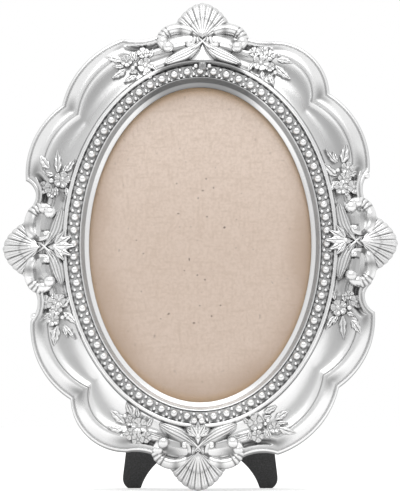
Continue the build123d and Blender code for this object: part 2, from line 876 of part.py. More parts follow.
def assembly():
    """All pieces on the face frame, by name, with the leg opened to its stop."""
    body = moulding()
    insert_top = ledge_height - glass_thickness
    filler_top = insert_top - insert_thickness
    filler_low = filler_top - filler_thickness
    pieces = {
        "frame_moulding": body,
        "bead_ring": bead_ring(),
        "glass_pane": oval_board(photo_width, photo_height, insert_top, ledge_height),
        "photo_insert": oval_board(photo_width, photo_height, filler_top, insert_top),
        "filler_board": oval_board(photo_width, photo_height, filler_low, filler_top),
        "back_panel": back_panel(),
        "hinge_panel_leaf": panel_leaf(),
        "hinge_pin": hinge_pin(),
    }
    pieces |= ornaments(body)
    panel_rivets = [Pos(p) * rivet(-leaf_thickness, rivet_depth) for p in panel_rivet_places()]
    pieces["panel_rivets"] = Compound(panel_rivets)
    inner_level, outer_level = leg_leaf_levels()
    leg_rivets = [Pos(p) * rivet(outer_level - leg_thickness, inner_level) for p in leg_rivet_places()]
    folded = {"easel_leg": easel_leg(), "hinge_leg_leaf": leg_leaf(), "leg_rivets": Compound(leg_rivets)}
    for name, piece in folded.items():
        pieces[name] = piece.rotate(hinge_axis(), opening_angle)
    for index, (spot, inward) in enumerate(turn_button_spots(), 1):
        pieces[f"turn_button_{index}"] = turn_button(spot, inward)
    pieces["turn_button_screws"] = Compound([button_screw(spot) for spot, _ in turn_button_spots()])
    pieces["hanger_strap"] = hanger_strap()
    hanger_place = Pos(0, hanger_rise - hanger_rivet_setback)
    pieces["hanger_rivet"] = hanger_place * rivet(-hanger_thickness, rivet_depth)
    ring_axis = Axis((0, hanger_rise, -hanger_loop_radius), (1, 0, 0))
    pieces["hanger_ring"] = hanger_ring().rotate(ring_axis, lean_angle)
    return pieces


def standing(pieces):
    """Pieces leaned back on the table, centred over the origin and cut flat at its level."""
    lift = half_height * cos(radians(lean_angle)) - toe_cut
    stance = Pos(0, 0, lift) * Rot(90 - lean_angle, 0, 0)
    placed = {name: stance * piece for name, piece in pieces.items()}
    table = Pos(0, 0, -face_height / 2) * Box(2 * face_width, 2 * face_height, face_height)
    for name in ("shell_bottom", "easel_leg"):
        placed[name] = placed[name] - table
    box = Compound([solid for piece in placed.values() for solid in piece.solids()]).bounding_box()
    centred = Pos(-(box.min.X + box.max.X) / 2, -(box.min.Y + box.max.Y) / 2)
    return {name: centred * piece for name, piece in placed.items()}


os.makedirs("parts", exist_ok=True)
for node, shape in standing(assembly()).items():
    export_step(shape, f"parts/{node}.step")
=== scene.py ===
import json
import logging
import math
from dataclasses import dataclass, field
from enum import Enum

import bmesh
import bpy
import numpy as np
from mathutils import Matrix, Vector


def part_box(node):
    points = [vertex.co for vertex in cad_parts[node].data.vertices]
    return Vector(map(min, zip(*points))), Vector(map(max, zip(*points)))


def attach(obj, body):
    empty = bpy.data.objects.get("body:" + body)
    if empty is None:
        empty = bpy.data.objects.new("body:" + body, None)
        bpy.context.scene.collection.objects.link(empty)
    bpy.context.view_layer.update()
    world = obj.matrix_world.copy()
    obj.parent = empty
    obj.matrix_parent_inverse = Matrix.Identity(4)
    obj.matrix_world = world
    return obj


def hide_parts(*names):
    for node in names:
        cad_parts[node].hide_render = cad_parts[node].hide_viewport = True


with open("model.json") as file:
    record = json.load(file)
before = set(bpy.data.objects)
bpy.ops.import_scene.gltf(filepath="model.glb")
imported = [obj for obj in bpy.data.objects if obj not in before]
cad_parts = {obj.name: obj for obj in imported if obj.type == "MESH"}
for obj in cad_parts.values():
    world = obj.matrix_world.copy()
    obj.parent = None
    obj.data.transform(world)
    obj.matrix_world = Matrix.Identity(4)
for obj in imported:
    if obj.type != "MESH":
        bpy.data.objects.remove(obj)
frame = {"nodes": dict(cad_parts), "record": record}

# Looks of an oval ornamental picture frame on an easel leg.
# Shapes are drawn in millimetres on the face: x to the right, y up along the face, z out of it,
# with z = 0 on the back of the moulding. FacePlane turns them into metres of the standing frame.

LOG = logging.getLogger("oval_frame")
MM = 0.001
# Point attribute that sets the silver's grey, 0 in a recess and 1 on a crest; it carries patina and also
# painted light and shade.
RELIEF_AND_SHADE = "relief"
BODY_FRAME = "frame"
WHITE = (1.0, 1.0, 1.0)
GRAIN_DEPTH = 0.0004
GRAIN_DETAIL = 4.0
GRAIN_SPAN = (0.3, 0.7)

Array = np.ndarray
Material = bpy.types.Material
Socket = bpy.types.NodeSocket
Colour = tuple[float, float, float]
Point = tuple[float, float]
Span = tuple[float, float]
Rows = tuple[tuple[float, ...], ...]


class Slot(Enum):
    """Material slots of the record."""

    SILVER = "silver"
    GLASS = "glass"
    PHOTO = "photo_board"
    FILLER = "filler_card"
    BLACK = "black_board"
    STEEL = "steel"
    BRASS = "brass"


class Side(Enum):
    """Hand of an ornament on its axis."""

    RIGHT = 1
    LEFT = -1


class Bud(Enum):
    """Form at the foot of a palmette, over the beads."""

    STAR = "star"
    CROWN = "crown"
    BLOCK = "block"


# Finishes


@dataclass(frozen=True)
class SilverFinish:
    """Silver-tone casting: bright crests, grey in the recesses, partly patina and partly painted shade.

    Args:
        tones: Relief values and the grey at each.
        metallic: Share of metal.
        rough_crest: Roughness of the crests.
        rough_recess: Roughness of the recesses.
        rough_span: Relief values between which the roughness changes.
        grain_scale: Grains to a metre.
        grain_bump: Strength of the grain.
        patch_scale: Worn patches to a metre.
        patch_span: Noise values between which a patch changes.
        patch_depth: Change of the relief value in a patch.
    """

    tones: Rows = ((0.0, 0.13), (0.3, 0.24), (0.55, 0.40), (0.8, 0.60), (1.0, 0.82))
    metallic: float = 0.9
    rough_crest: float = 0.25
    rough_recess: float = 0.45
    rough_span: Span = (0.0, 0.9)
    grain_scale: float = 900.0
    grain_bump: float = 0.06
    patch_scale: float = 26.0
    patch_span: Span = (0.35, 0.70)
    patch_depth: float = 0.05


@dataclass(frozen=True)
class BoardFinish:
    """Beige woven board: painted paler at the top as painted light, tan towards its edge, with specks in the
    middle.

    Distances are shares of the way from the middle of the board to its edge.

    Args:
        middle: Colour of the middle.
        lit_top_colour: Colour of the upper part: painted light.
        edge: Colour towards the edge.
        edge_line_colour: Colour of a thin darker line along the edge itself.
        speck: Colour of the specks.
        roughness: Roughness.
        bump: Strength of the grain.
        cloud: Clouds to a metre and their push on the distance.
        cloud_span: Noise values between which a cloud changes.
        raised: Heights between which the painted light of the upper part comes in.
        lift: How far the painted light of the upper part pushes the edge colour out.
        toned: Distances between which it turns tan.
        edge_line_span: Distances between which that line comes in.
        fibre_scale: Fibres to a metre.
        fibre_span: Noise values between which a fibre shows.
        fibre_share: Strength of the fibres.
        thread_scale: Threads to a metre.
        thread_stretch: Scale along a thread as a share of that across it.
        thread_span: Noise values between which a thread shows.
        thread_share: Strength of the threads.
        speck_scale: Specks to a metre.
        speck_span: Noise values between which a speck shows.
        speck_share: Strength of the specks.
        speck_fade: Distances between which the specks fade.
        speck_rest: Strength that is left of them at the edge, as a share.
    """

    middle: Colour = (0.665, 0.53, 0.452)
    lit_top_colour: Colour = (0.74, 0.60, 0.52)
    edge: Colour = (0.47, 0.34, 0.26)
    edge_line_colour: Colour = (0.57, 0.37, 0.21)
    speck: Colour = (0.10, 0.065, 0.05)
    roughness: float = 0.85
    bump: float = 0.15
    cloud: Span = (18.0, 0.06)
    cloud_span: Span = (0.3, 0.7)
    raised: Span = (-0.1, 0.7)
    lift: float = 0.16
    toned: Span = (0.66, 1.0)
    edge_line_span: Span = (0.885, 0.97)
    fibre_scale: float = 700.0
    fibre_span: Span = (0.40, 0.62)
    fibre_share: float = 0.22
    thread_scale: float = 620.0
    thread_stretch: float = 0.16
    thread_span: Span = (0.5, 0.72)
    thread_share: float = 0.22
    speck_scale: float = 430.0
    speck_span: Span = (0.80, 0.84)
    speck_share: float = 0.8
    speck_fade: Span = (0.4, 0.8)
    speck_rest: float = 0.2


@dataclass(frozen=True)
class GlassFinish:
    """Clear pane.

    Args:
        tint: Colour.
        roughness: Roughness.
        bend: Index of refraction.
    """

    tint: Colour = (0.97, 0.99, 0.98)
    roughness: float = 0.02
    bend: float = 1.2


@dataclass(frozen=True)
class PlainFinish:
    """Finish of one colour with a fine grain.

    Args:
        colour: Colour.
        metallic: Share of metal.
        roughness: Roughness.
        grain_scale: Grains to a metre.
        grain_amount: Change of the colour in a grain, as a share.
        grain_bump: Strength of the grain.
    """

    colour: Colour
    metallic: float
    roughness: float
    grain_scale: float
    grain_amount: float
    grain_bump: float


PLAIN = {
    Slot.BLACK: PlainFinish((0.068, 0.068, 0.069), 0.0, 0.78, 1500.0, 0.3, 0.2),
    Slot.FILLER: PlainFinish((0.36, 0.26, 0.16), 0.0, 0.9, 500.0, 0.25, 0.1),
    Slot.STEEL: PlainFinish((0.56, 0.57, 0.58), 1.0, 0.34, 900.0, 0.15, 0.04),
    Slot.BRASS: PlainFinish((0.72, 0.52, 0.22), 1.0, 0.3, 700.0, 0.15, 0.04),
}


class Nodes:
    """Adds nodes to one node tree."""

    def __init__(self, tree: bpy.types.NodeTree) -> None:
        """Keeps the tree."""
        self.tree = tree

    def new(self, kind: str, values: dict[object, object]) -> bpy.types.Node:
        """Adds a shader node and fills its inputs.

        Args:
            kind: Kind of the node.
            values: Value of each input, by its name or number.

        Returns:
            The node.
        """
        node = self.tree.nodes.new(f"ShaderNode{kind}")
        self.fill(node, values)
        return node

    def fill(self, node: bpy.types.Node, values: dict[object, object]) -> None:
        """Fills inputs of a node.

        Args:
            node: The node.
            values: Socket, number, vector or colour for each input.
        """
        for key, value in values.items():
            socket = node.inputs[key]
            if isinstance(value, Socket):
                self.tree.links.new(value, socket)
            else:
                socket.default_value = (*value, 1.0) if socket.type == "RGBA" else value

    def math(self, operation: str, first: object, second: object = 0.0) -> Socket:
        """Adds a maths node.

        Args:
            operation: Name of the operation.
            first: Socket or number.
            second: Socket or number.

        Returns:
            The result.
        """
        node = self.new("Math", {0: first, 1: second})
        node.operation = operation
        return node.outputs[0]

    def mix(self, factor: Socket, low: object, high: object) -> Socket:
        """Adds a mix of two colours.

        Args:
            factor: Share of the second colour.
            low: Socket or colour.
            high: Socket or colour.

        Returns:
            The colour.
        """
        node = self.tree.nodes.new("ShaderNodeMix")
        node.data_type = "RGBA"
        self.fill(node, {"Factor": factor, 6: low, 7: high})
        return node.outputs[2]

    def ease(self, value: Socket, span: Span, to: Span = (0.0, 1.0)) -> Socket:
        """Adds a smooth clamped change of range.

        Args:
            value: Socket to map.
            span: Values that map to the ends.
            to: Values at the ends.

        Returns:
            The mapped value.
        """
        ends = dict(zip(("From Min", "From Max", "To Min", "To Max"), (*span, *to)))
        node = self.new("MapRange", {"Value": value, **ends})
        node.interpolation_type = "SMOOTHSTEP"
        return node.outputs["Result"]

    def ramp(self, value: Socket, stops: Rows) -> Socket:
        """Adds a ramp of greys.

        Args:
            value: Socket to map.
            stops: Places on the ramp and the grey at each.

        Returns:
            The colour.
        """
        node = self.new("ValToRGB", {0: value})
        ends = node.color_ramp.elements
        for index, (place, grey) in enumerate(stops):
            stop = ends[index] if index < len(ends) else ends.new(place)
            stop.position = place
            stop.color = (grey, grey, grey, 1.0)
        return node.outputs["Color"]

    def noise(self, scale: float, detail: float, stretch: Colour = WHITE) -> Socket:
        """Adds noise on object coordinates.

        Args:
            scale: Cells to a metre.
            detail: Octaves.
            stretch: Share of the scale along each axis.

        Returns:
            The noise value.
        """
        place = self.new("TexCoord", {}).outputs["Object"]
        spread = self.new("VectorMath", {0: place, 1: stretch})
        spread.operation = "MULTIPLY"
        values = {"Vector": spread.outputs[0], "Scale": scale, "Detail": detail}
        return self.new("TexNoise", values).outputs[0]

    def seen(self) -> Socket:
        """Tells the rays of the camera, of mirrors and of glass from the rest.

        Returns:
            1 for those rays and 0 for the others.
        """
        path = self.new("LightPath", {}).outputs
        mirrored = self.math("MAXIMUM", path["Is Glossy Ray"], path["Is Transmission Ray"])
        return self.math("MAXIMUM", mirrored, path["Is Camera Ray"])


def blank(name: str) -> tuple[Material, Nodes, bpy.types.Node]:
    """Makes an empty node material.

    Args:
        name: Name of the material.

    Returns:
        The material, its nodes and its Principled node.
    """
    material = bpy.data.materials.new(name)
    material.use_nodes = True
    tree = material.node_tree
    return material, Nodes(tree), tree.nodes["Principled BSDF"]


class Materials:
    """Procedural materials, one for each slot, on object coordinates and the relief attribute."""

    def __init__(self) -> None:
        """Builds the shared grain and all materials."""
        self.grain = self.grain_group()
        self.by_slot = {
            Slot.SILVER: self.silver(SilverFinish()),
            Slot.PHOTO: self.board(BoardFinish()),
            Slot.GLASS: self.glass(GlassFinish()),
        }
        for slot, finish in PLAIN.items():
            self.by_slot[slot] = self.plain(slot.value, finish)

    @staticmethod
    def grain_group() -> bpy.types.NodeTree:
        """Shared grain: noise as a value and a bumped normal.

        Returns:
            The node group.
        """
        group = bpy.data.node_groups.new("fine_grain", "ShaderNodeTree")
        for name, way, kind in (("Scale", "INPUT", "Float"), ("Bump", "INPUT", "Float"),
                                ("Value", "OUTPUT", "Float"), ("Normal", "OUTPUT", "Vector")):
            group.interface.new_socket(name, in_out=way, socket_type=f"NodeSocket{kind}")
        nodes = Nodes(group)
        source = group.nodes.new("NodeGroupInput").outputs
        place = nodes.new("TexCoord", {}).outputs["Object"]
        values = {"Vector": place, "Scale": source["Scale"], "Detail": GRAIN_DETAIL}
        noise = nodes.new("TexNoise", values).outputs[0]
        bump = nodes.new("Bump", {"Distance": GRAIN_DEPTH, "Strength": source["Bump"], "Height": noise})
        nodes.fill(group.nodes.new("NodeGroupOutput"), {"Value": noise, "Normal": bump.outputs[0]})
        return group

    def grained(self, nodes: Nodes, scale: float, bump: float) -> bpy.types.NodeOutputs:
        """Adds the shared grain to a material.

        Args:
            nodes: Nodes of the material.
            scale: Grains to a metre.
            bump: Strength of the bump.

        Returns:
            Its value and its normal.
        """
        node = nodes.new("Group", {})
        node.node_tree = self.grain
        nodes.fill(node, {"Scale": scale, "Bump": bump})
        return node.outputs

    def silver(self, finish: SilverFinish) -> Material:
        """Silver casting whose recesses are darker and duller than its crests: patina together with painted
        shade.

        Args:
            finish: Its finish.

        Returns:
            The material.
        """
        material, nodes, shader = blank(Slot.SILVER.value)
        relief = nodes.new("Attribute", {})
        relief.attribute_name = RELIEF_AND_SHADE
        depth = finish.patch_depth
        patches = nodes.ease(nodes.noise(finish.patch_scale, 2.0), finish.patch_span, (-depth, depth))
        height = nodes.math("ADD", relief.outputs["Fac"], patches)
        nodes.fill(shader, {
            "Base Color": nodes.ramp(height, finish.tones),
            "Roughness": nodes.ease(height, finish.rough_span, (finish.rough_recess, finish.rough_crest)),
            "Normal": self.grained(nodes, finish.grain_scale, finish.grain_bump)["Normal"],
            "Metallic": finish.metallic,
        })
        return material

    def board(self, finish: BoardFinish) -> Material:
        """Board that turns tan towards its oval edge, with fibres, threads and scattered specks.

        Args:
            finish: Its finish.

        Returns:
            The material.
        """
        material, nodes, shader = blank(Slot.PHOTO.value)
        low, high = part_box("photo_insert")
        centre, half = (low + high) / 2, (high - low) / 2
        place = nodes.new("TexCoord", {}).outputs["Object"]
        split = nodes.new("SeparateXYZ", {0: place}).outputs
        across = nodes.math("DIVIDE", split["X"], half.x)
        along = nodes.math("DIVIDE", nodes.math("SUBTRACT", split["Z"], centre.z), half.z)
        squares = nodes.math("ADD", nodes.math("POWER", across, 2.0), nodes.math("POWER", along, 2.0))
        distance = nodes.math("SQRT", squares)
        scale, push = finish.cloud
        cloud = nodes.ease(nodes.noise(scale, 3.0), finish.cloud_span, (-push, push))
        # Painted light: the upper part of the board is painted paler, to offset the frame's shadow there.
        raised = nodes.ease(along, finish.raised)
        pushed = nodes.math("SUBTRACT", cloud, nodes.math("MULTIPLY", raised, finish.lift))
        toned = nodes.ease(nodes.math("ADD", distance, pushed), finish.toned)
        tint = nodes.mix(toned, nodes.mix(raised, finish.middle, finish.lit_top_colour), finish.edge)
        # A thin darker tan line along the very edge of the board.
        tint = nodes.mix(nodes.ease(distance, finish.edge_line_span), tint, finish.edge_line_colour)
        fibre = nodes.noise(finish.fibre_scale, 5.0)
        fibre = nodes.ease(fibre, finish.fibre_span, (0.0, finish.fibre_share))
        tint = nodes.mix(fibre, tint, finish.edge)
        thin = finish.thread_stretch
        warp, weft = (nodes.noise(finish.thread_scale, 2.0, lay)
                      for lay in ((1.0, 1.0, thin), (thin, 1.0, 1.0)))
        threads = nodes.math("MAXIMUM", warp, weft)
        threads = nodes.ease(threads, finish.thread_span, (0.0, finish.thread_share))
        tint = nodes.mix(threads, tint, finish.edge)
        specks = nodes.noise(finish.speck_scale, 0.0)
        specks = nodes.ease(specks, finish.speck_span, (0.0, finish.speck_share))
        fade = nodes.ease(distance, finish.speck_fade, (1.0, finish.speck_rest))
        specks = nodes.math("MULTIPLY", specks, fade)
        nodes.fill(shader, {
            "Base Color": nodes.mix(specks, tint, finish.speck),
            "Normal": self.grained(nodes, finish.fibre_scale, finish.bump)["Normal"],
            "Roughness": finish.roughness,
        })
        return material

    @staticmethod
    def glass(finish: GlassFinish) -> Material:
        """Clear pane that lets the light through to the board.

        Args:
            finish: Its finish.

        Returns:
            The material.
        """
        material, nodes, shader = blank(Slot.GLASS.value)
        nodes.fill(shader, {"Base Color": finish.tint, "Roughness": finish.roughness, "IOR": finish.bend,
                            "Transmission Weight": 1.0})
        path = nodes.new("LightPath", {}).outputs
        lit = nodes.math("MAXIMUM", path["Is Shadow Ray"], path["Is Diffuse Ray"])
        clear = nodes.new("BsdfTransparent", {})
        mix = nodes.new("MixShader", {0: lit, 1: shader.outputs[0], 2: clear.outputs[0]})
        nodes.fill(nodes.tree.nodes["Material Output"], {"Surface": mix.outputs[0]})
        return material

    def plain(self, name: str, finish: PlainFinish) -> Material:
        """Plain finish with a little grain in its colour and surface.

        Args:
            name: Name of the material.
            finish: Its finish.

        Returns:
            The material.
        """
        material, nodes, shader = blank(name)
        grain = self.grained(nodes, finish.grain_scale, finish.grain_bump)
        darker, lighter = (tuple(c * (1.0 + change) for c in finish.colour)
                           for change in (-finish.grain_amount, finish.grain_amount))
        nodes.fill(shader, {
            "Base Color": nodes.mix(nodes.ease(grain["Value"], GRAIN_SPAN), darker, lighter),
            "Normal": grain["Normal"],
            "Metallic": finish.metallic,
            "Roughness": finish.roughness,
        })
        return material


# Geometry helpers


def compass(angle: Array) -> Array:
    """Unit vectors at some angles."""
    return np.stack([np.cos(angle), np.sin(angle)], -1)


def full_turn(count: int) -> Array:
    """Angles at equal steps round a circle."""
    return np.arange(count) * 2 * math.pi / count


def smooth_step(value: Array, low: float, high: float) -> Array:
    """Cubic step from 0 at low to 1 at high."""
    t = np.clip((value - low) / (high - low), 0, 1)
    return t * t * (3 - 2 * t)


def bells(value: Array, places: tuple[float, ...], width: float) -> Array:
    """Sum of bell curves of height 1."""
    value = np.asarray(value, float)
    return sum((np.exp(-(((value - place) / width) ** 2)) for place in places), np.zeros_like(value))


def curve_through(points: Rows, count: int) -> Array:
    """Smooth open curve through points (Catmull-Rom, evenly spaced in its parameter).

    Each span between two points is a cubic whose slope at a point is half the step between its
    neighbours.

    Args:
        points: Points, one to a row.
        count: Number of points of the curve.

    Returns:
        Points of the curve, one to a row.
    """
    points = np.asarray(points, float)
    padded = np.vstack([2 * points[0] - points[1], points, 2 * points[-1] - points[-2]])
    travel = np.linspace(0, len(points) - 1, count)
    span = np.minimum(travel.astype(int), len(points) - 2)
    t = (travel - span)[:, None]
    p0, p1, p2, p3 = (padded[span + k] for k in range(4))
    return 0.5 * (2 * p1 + (p2 - p0) * t + (2 * p0 - 5 * p1 + 4 * p2 - p3) * t**2
                  + (3 * p1 - p0 - 3 * p2 + p3) * t**3)


def sideways(path: Array) -> Array:
    """Unit vectors square to a flat path, to its left.

    Args:
        path: Points of the path, one to a row.

    Returns:
        One vector to a row.
    """
    heading = np.gradient(path, axis=0)
    heading /= np.maximum(np.linalg.norm(heading, axis=1, keepdims=True), 1e-9)
    return np.stack([-heading[:, 1], heading[:, 0]], -1)


def grid_faces(rows: int, columns: int, closed_rows: bool, closed_columns: bool, flip: bool = False) -> Array:
    """Four-sided faces of a grid of points numbered row by row.

    Args:
        rows: Number of rows.
        columns: Number of columns.
        closed_rows: Whether the last row joins the first.
        closed_columns: Whether the last column joins the first.
        flip: Whether the faces look the other way.

    Returns:
        Point numbers of the faces, four to a row.
    """
    r = np.arange(rows if closed_rows else rows - 1)[:, None]
    c = np.arange(columns if closed_columns else columns - 1)[None, :]
    r2, c2 = (r + 1) % rows, (c + 1) % columns
    corners = (r * columns + c, r * columns + c2, r2 * columns + c2, r2 * columns + c)
    quads = np.stack(corners, -1).reshape(-1, 4)
    return quads[:, ::-1] if flip else quads


@dataclass(frozen=True)
class FacePlane:
    """Place of the face in the standing frame.

    Args:
        lean: Angle in degrees that the face leans back.
        glass_middle: Height of the middle of the pane above the back of the moulding.
    """

    lean: float = 8.0
    glass_middle: float = 7.5

    def to_world(self, points: Array) -> Array:
        """Face points in millimetres as points of the standing frame in metres.

        The rows of the matrix are the face's x, y and z; its origin comes from the pane of the CAD frame.

        Args:
            points: Points, one to a row.

        Returns:
            The points in metres.
        """
        a = math.radians(self.lean)
        axes = np.array([[1, 0, 0], [0, math.sin(a), math.cos(a)], [0, -math.cos(a), math.sin(a)]])
        low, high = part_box("glass_pane")
        origin = (np.array(low) + np.array(high)) / 2 - axes[2] * self.glass_middle * MM
        return points @ axes * MM + origin


PLANE = FacePlane()


@dataclass
class Carving:
    """Collects closed surfaces of one piece and turns them into a mesh.

    Args:
        name: Name of the piece.
        slope_light_share: Share of the slope that is added to the relief: painted light on what faces up,
            painted shade on what faces down.
        wall_shade: Relief value of walls and undersides: painted shade, darker than the crests.
        points: Points of the surfaces.
        faces: Point numbers of their faces.
        relief: Relief value of each point.
        count: Number of points so far.
    """

    name: str
    slope_light_share: float = 0.2
    wall_shade: float = 0.45
    points: list[Array] = field(default_factory=list)
    faces: list[Array] = field(default_factory=list)
    relief: list[Array] = field(default_factory=list)
    count: int = 0

    def add(self, points: Array, faces: Array, relief: Array) -> None:
        """Adds points and faces.

        Args:
            points: Points in millimetres.
            faces: Point numbers, four to a row.
            relief: Relief value of each point, 0 in a recess and 1 on a crest.
        """
        self.points.append(points.reshape(-1, 3))
        self.faces.append(faces + self.count)
        self.relief.append(np.broadcast_to(relief, points.shape[:-1]).reshape(-1))
        self.count += len(self.points[-1])

    def pillow(self, top: Array, base: float, relief: Array, closed: bool = False) -> None:
        """Adds a relief: a grid of top points, the same grid flat at the base and walls between.

        Args:
            top: Grid of points, rows by columns by three.
            base: Height of the flat underside.
            relief: Relief value of each top point.
            closed: Whether the last column joins the first.
        """
        rows, columns = top.shape[:2]
        low = top.copy()
        low[..., 2] = np.minimum(base, top[..., 2])
        # Painted shade on the walls and undersides of the relief.
        walls = np.full((rows, columns), self.wall_shade)
        shade = np.concatenate([np.broadcast_to(relief, (rows, columns)), walls])
        faces = [grid_faces(2 * rows, columns, True, closed)]
        if not closed:
            for column, flip in ((0, False), (columns - 1, True)):
                k = np.arange(rows - 1)
                first, last = k * columns + column, (2 * rows - 1 - k) * columns + column
                quads = np.stack([first, first + columns, last - columns, last], -1)
                faces.append(quads[:, ::-1] if flip else quads)
        self.add(np.concatenate([top, low[::-1]]), np.concatenate(faces), shade)

    def tube(self, path: Array, half_width: Array, half_height: Array, relief: Array,
             around: int = 28) -> None:
        """Adds a tube along a path: ellipses upright to the face and square to the path.

        Args:
            path: Points of the path, one to a row.
            half_width: Half width at each point, along the face.
            half_height: Half height at each point, out of the face.
            relief: Relief value at each point on the crest.
            around: Number of points round the tube.
        """
        side = np.pad(sideways(path[:, :2]), ((0, 0), (0, 1)))
        turn = full_turn(around)
        grid = path[:, None] + side[:, None] * (half_width[:, None] * np.cos(turn))[..., None]
        grid[..., 2] += half_height[:, None] * np.sin(turn)
        # Painted shade: the flanks and underside of the tube are darker than its crest.
        shade = relief[:, None] * (0.35 + 0.65 * smooth_step(np.sin(turn), -0.3, 0.6))
        self.add(grid, grid_faces(len(path), around, False, True, True), shade)

    def ball(self, centre: Array, radius: float, count: int = 16) -> None:
        """Adds a ball.

        Args:
            centre: Middle of the ball.
            radius: Its radius.
            count: Number of points from pole to pole.
        """
        polar = np.linspace(0, math.pi, count)[:, None]
        turn = full_turn(2 * count)[None, :]
        unit = np.stack([np.sin(polar) * np.cos(turn), np.sin(polar) * np.sin(turn),
                         np.cos(polar) * np.ones_like(turn)], -1)
        # Painted shade: the ball is darker towards its sides and its back.
        shade = 0.4 + 0.6 * smooth_step(unit[..., 2], -0.3, 0.5)
        self.add(centre + unit * radius, grid_faces(count, 2 * count, False, True), shade)

    def shade_by_slope(self, mesh: bpy.types.Mesh) -> None:
        """Adds the slope to the relief as painted light and shade: what faces up is painted brighter, what
        faces down darker.

        Args:
            mesh: Mesh with the relief attribute.
        """
        count = len(mesh.vertices)
        normals, relief = np.empty(3 * count, np.float32), np.empty(count, np.float32)
        mesh.vertex_normals.foreach_get("vector", normals)
        values = mesh.attributes[RELIEF_AND_SHADE].data
        values.foreach_get("value", relief)
        # Painted light and shade from the slope: brighter facing up, darker facing down.
        slope = normals.reshape(-1, 3)[:, 2] - math.sin(math.radians(PLANE.lean))
        values.foreach_set("value", np.clip(relief + self.slope_light_share * slope, 0, 1).astype(np.float32))

    def build(self, material: Material, sharp: float = 40.0) -> bpy.types.Object:
        """Makes the mesh object in the standing frame, smooth but for sharp edges.

        Args:
            material: Material of the piece.
            sharp: Angle in degrees above which an edge stays sharp.

        Returns:
            The object.
        """
        mesh = bpy.data.meshes.new(self.name)
        points = PLANE.to_world(np.concatenate(self.points))
        mesh.from_pydata(points.tolist(), [], np.concatenate(self.faces).tolist())
        shade = mesh.attributes.new(RELIEF_AND_SHADE, "FLOAT", "POINT")
        shade.data.foreach_set("value", np.concatenate(self.relief).astype(np.float32))
        tidy = bmesh.new()
        tidy.from_mesh(mesh)
        bmesh.ops.remove_doubles(tidy, verts=tidy.verts, dist=1e-6)
        bmesh.ops.recalc_face_normals(tidy, faces=tidy.faces)
        tidy.to_mesh(mesh)
        tidy.free()
        self.shade_by_slope(mesh)
        mesh.shade_smooth()
        mesh.set_sharp_from_angle(angle=math.radians(sharp))
        mesh.materials.append(material)
        piece = bpy.data.objects.new(self.name, mesh)
        bpy.context.scene.collection.objects.link(piece)
        LOG.info("%s: %d points", self.name, len(mesh.vertices))
        return piece


def install(piece: bpy.types.Object, node: str) -> None:
    """Lets a piece stand for a CAD node and ride on the frame.

    Args:
        piece: The piece.
        node: CAD node that it stands for.
    """
    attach(piece, BODY_FRAME)
    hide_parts(node)


# Moulding


@dataclass(frozen=True)
class ScallopOutline:
    """Scalloped outer line of the face: arcs that repeat after half a turn.

    Args:
        half_width: Half the width of the face.
        half_height: Half the height of the face.
        shares: Start of each arc as shares of the half sizes, and its bulge as a share of its chord.
    """

    half_width: float = 105.8
    half_height: float = 131.9
    shares: Rows = (
        (0.862, 0.151, -0.204), (0.855, 0.306, 0.137), (0.653, 0.624, 0.205), (0.367, 0.838, -0.100),
        (0.182, 0.873, 0.070), (-0.182, 0.873, -0.110), (-0.391, 0.848, 0.131), (-0.698, 0.576, 0.132),
        (-0.880, 0.269, -0.283), (-0.862, 0.151, 0.054),
    )

    def circles(self) -> tuple[Array, Array, Array, Array, Array]:
        """Circles of the arcs: each goes through two corners with the given bulge.

        Returns:
            Start corners, chord lengths, centres, radii and signs (+1 for a lobe, -1 for a dip).
        """
        rows = np.array(self.shares)
        half = rows[:, :2] * (self.half_width, self.half_height)
        start = np.concatenate([half, -half])
        bulge = np.concatenate([rows[:, 2], rows[:, 2]])
        chord = np.roll(start, -1, 0) - start
        length = np.linalg.norm(chord, axis=1)
        sagitta = np.abs(bulge) * length
        radius = (length**2 / 4 + sagitta**2) / (2 * sagitta)
        outward = np.stack([chord[:, 1], -chord[:, 0]], -1) / length[:, None]
        sign = np.sign(bulge)
        centre = start + chord / 2 + outward * (sign * (sagitta - radius))[:, None]
        return start, length, centre, radius, sign

    def ring(self, inset: float, chords: int) -> Array:
        """Outline at an inset: the radii change by the inset and the corners move to their crossings.

        Args:
            inset: Distance inside the outer edge.
            chords: Points to each arc.

        Returns:
            Points of the ring, one to a row.
        """
        start, _, centre, radius, sign = self.circles()
        radius = radius - sign * inset
        before, before_radius = np.roll(centre, 1, 0), np.roll(radius, 1)
        axis = centre - before
        gap = np.linalg.norm(axis, axis=1)
        along = (gap**2 + before_radius**2 - radius**2) / (2 * gap)
        across = np.sqrt(np.maximum(before_radius**2 - along**2, 0))
        unit = axis / gap[:, None]
        side = np.stack([-unit[:, 1], unit[:, 0]], -1) * across[:, None]
        foot = before + unit * along[:, None]
        nearer = np.linalg.norm(foot + side - start, axis=1) < np.linalg.norm(foot - side - start, axis=1)
        corner = np.where(nearer[:, None], foot + side, foot - side)
        first, last = corner - centre, np.roll(corner, -1, 0) - centre
        begin = np.arctan2(first[:, 1], first[:, 0])
        sweep = np.arctan2(last[:, 1], last[:, 0]) - begin
        sweep = (sweep + math.pi) % (2 * math.pi) - math.pi
        angle = begin[:, None] + sweep[:, None] * np.arange(chords) / chords
        return (centre[:, None] + radius[:, None, None] * compass(angle)).reshape(-1, 2)


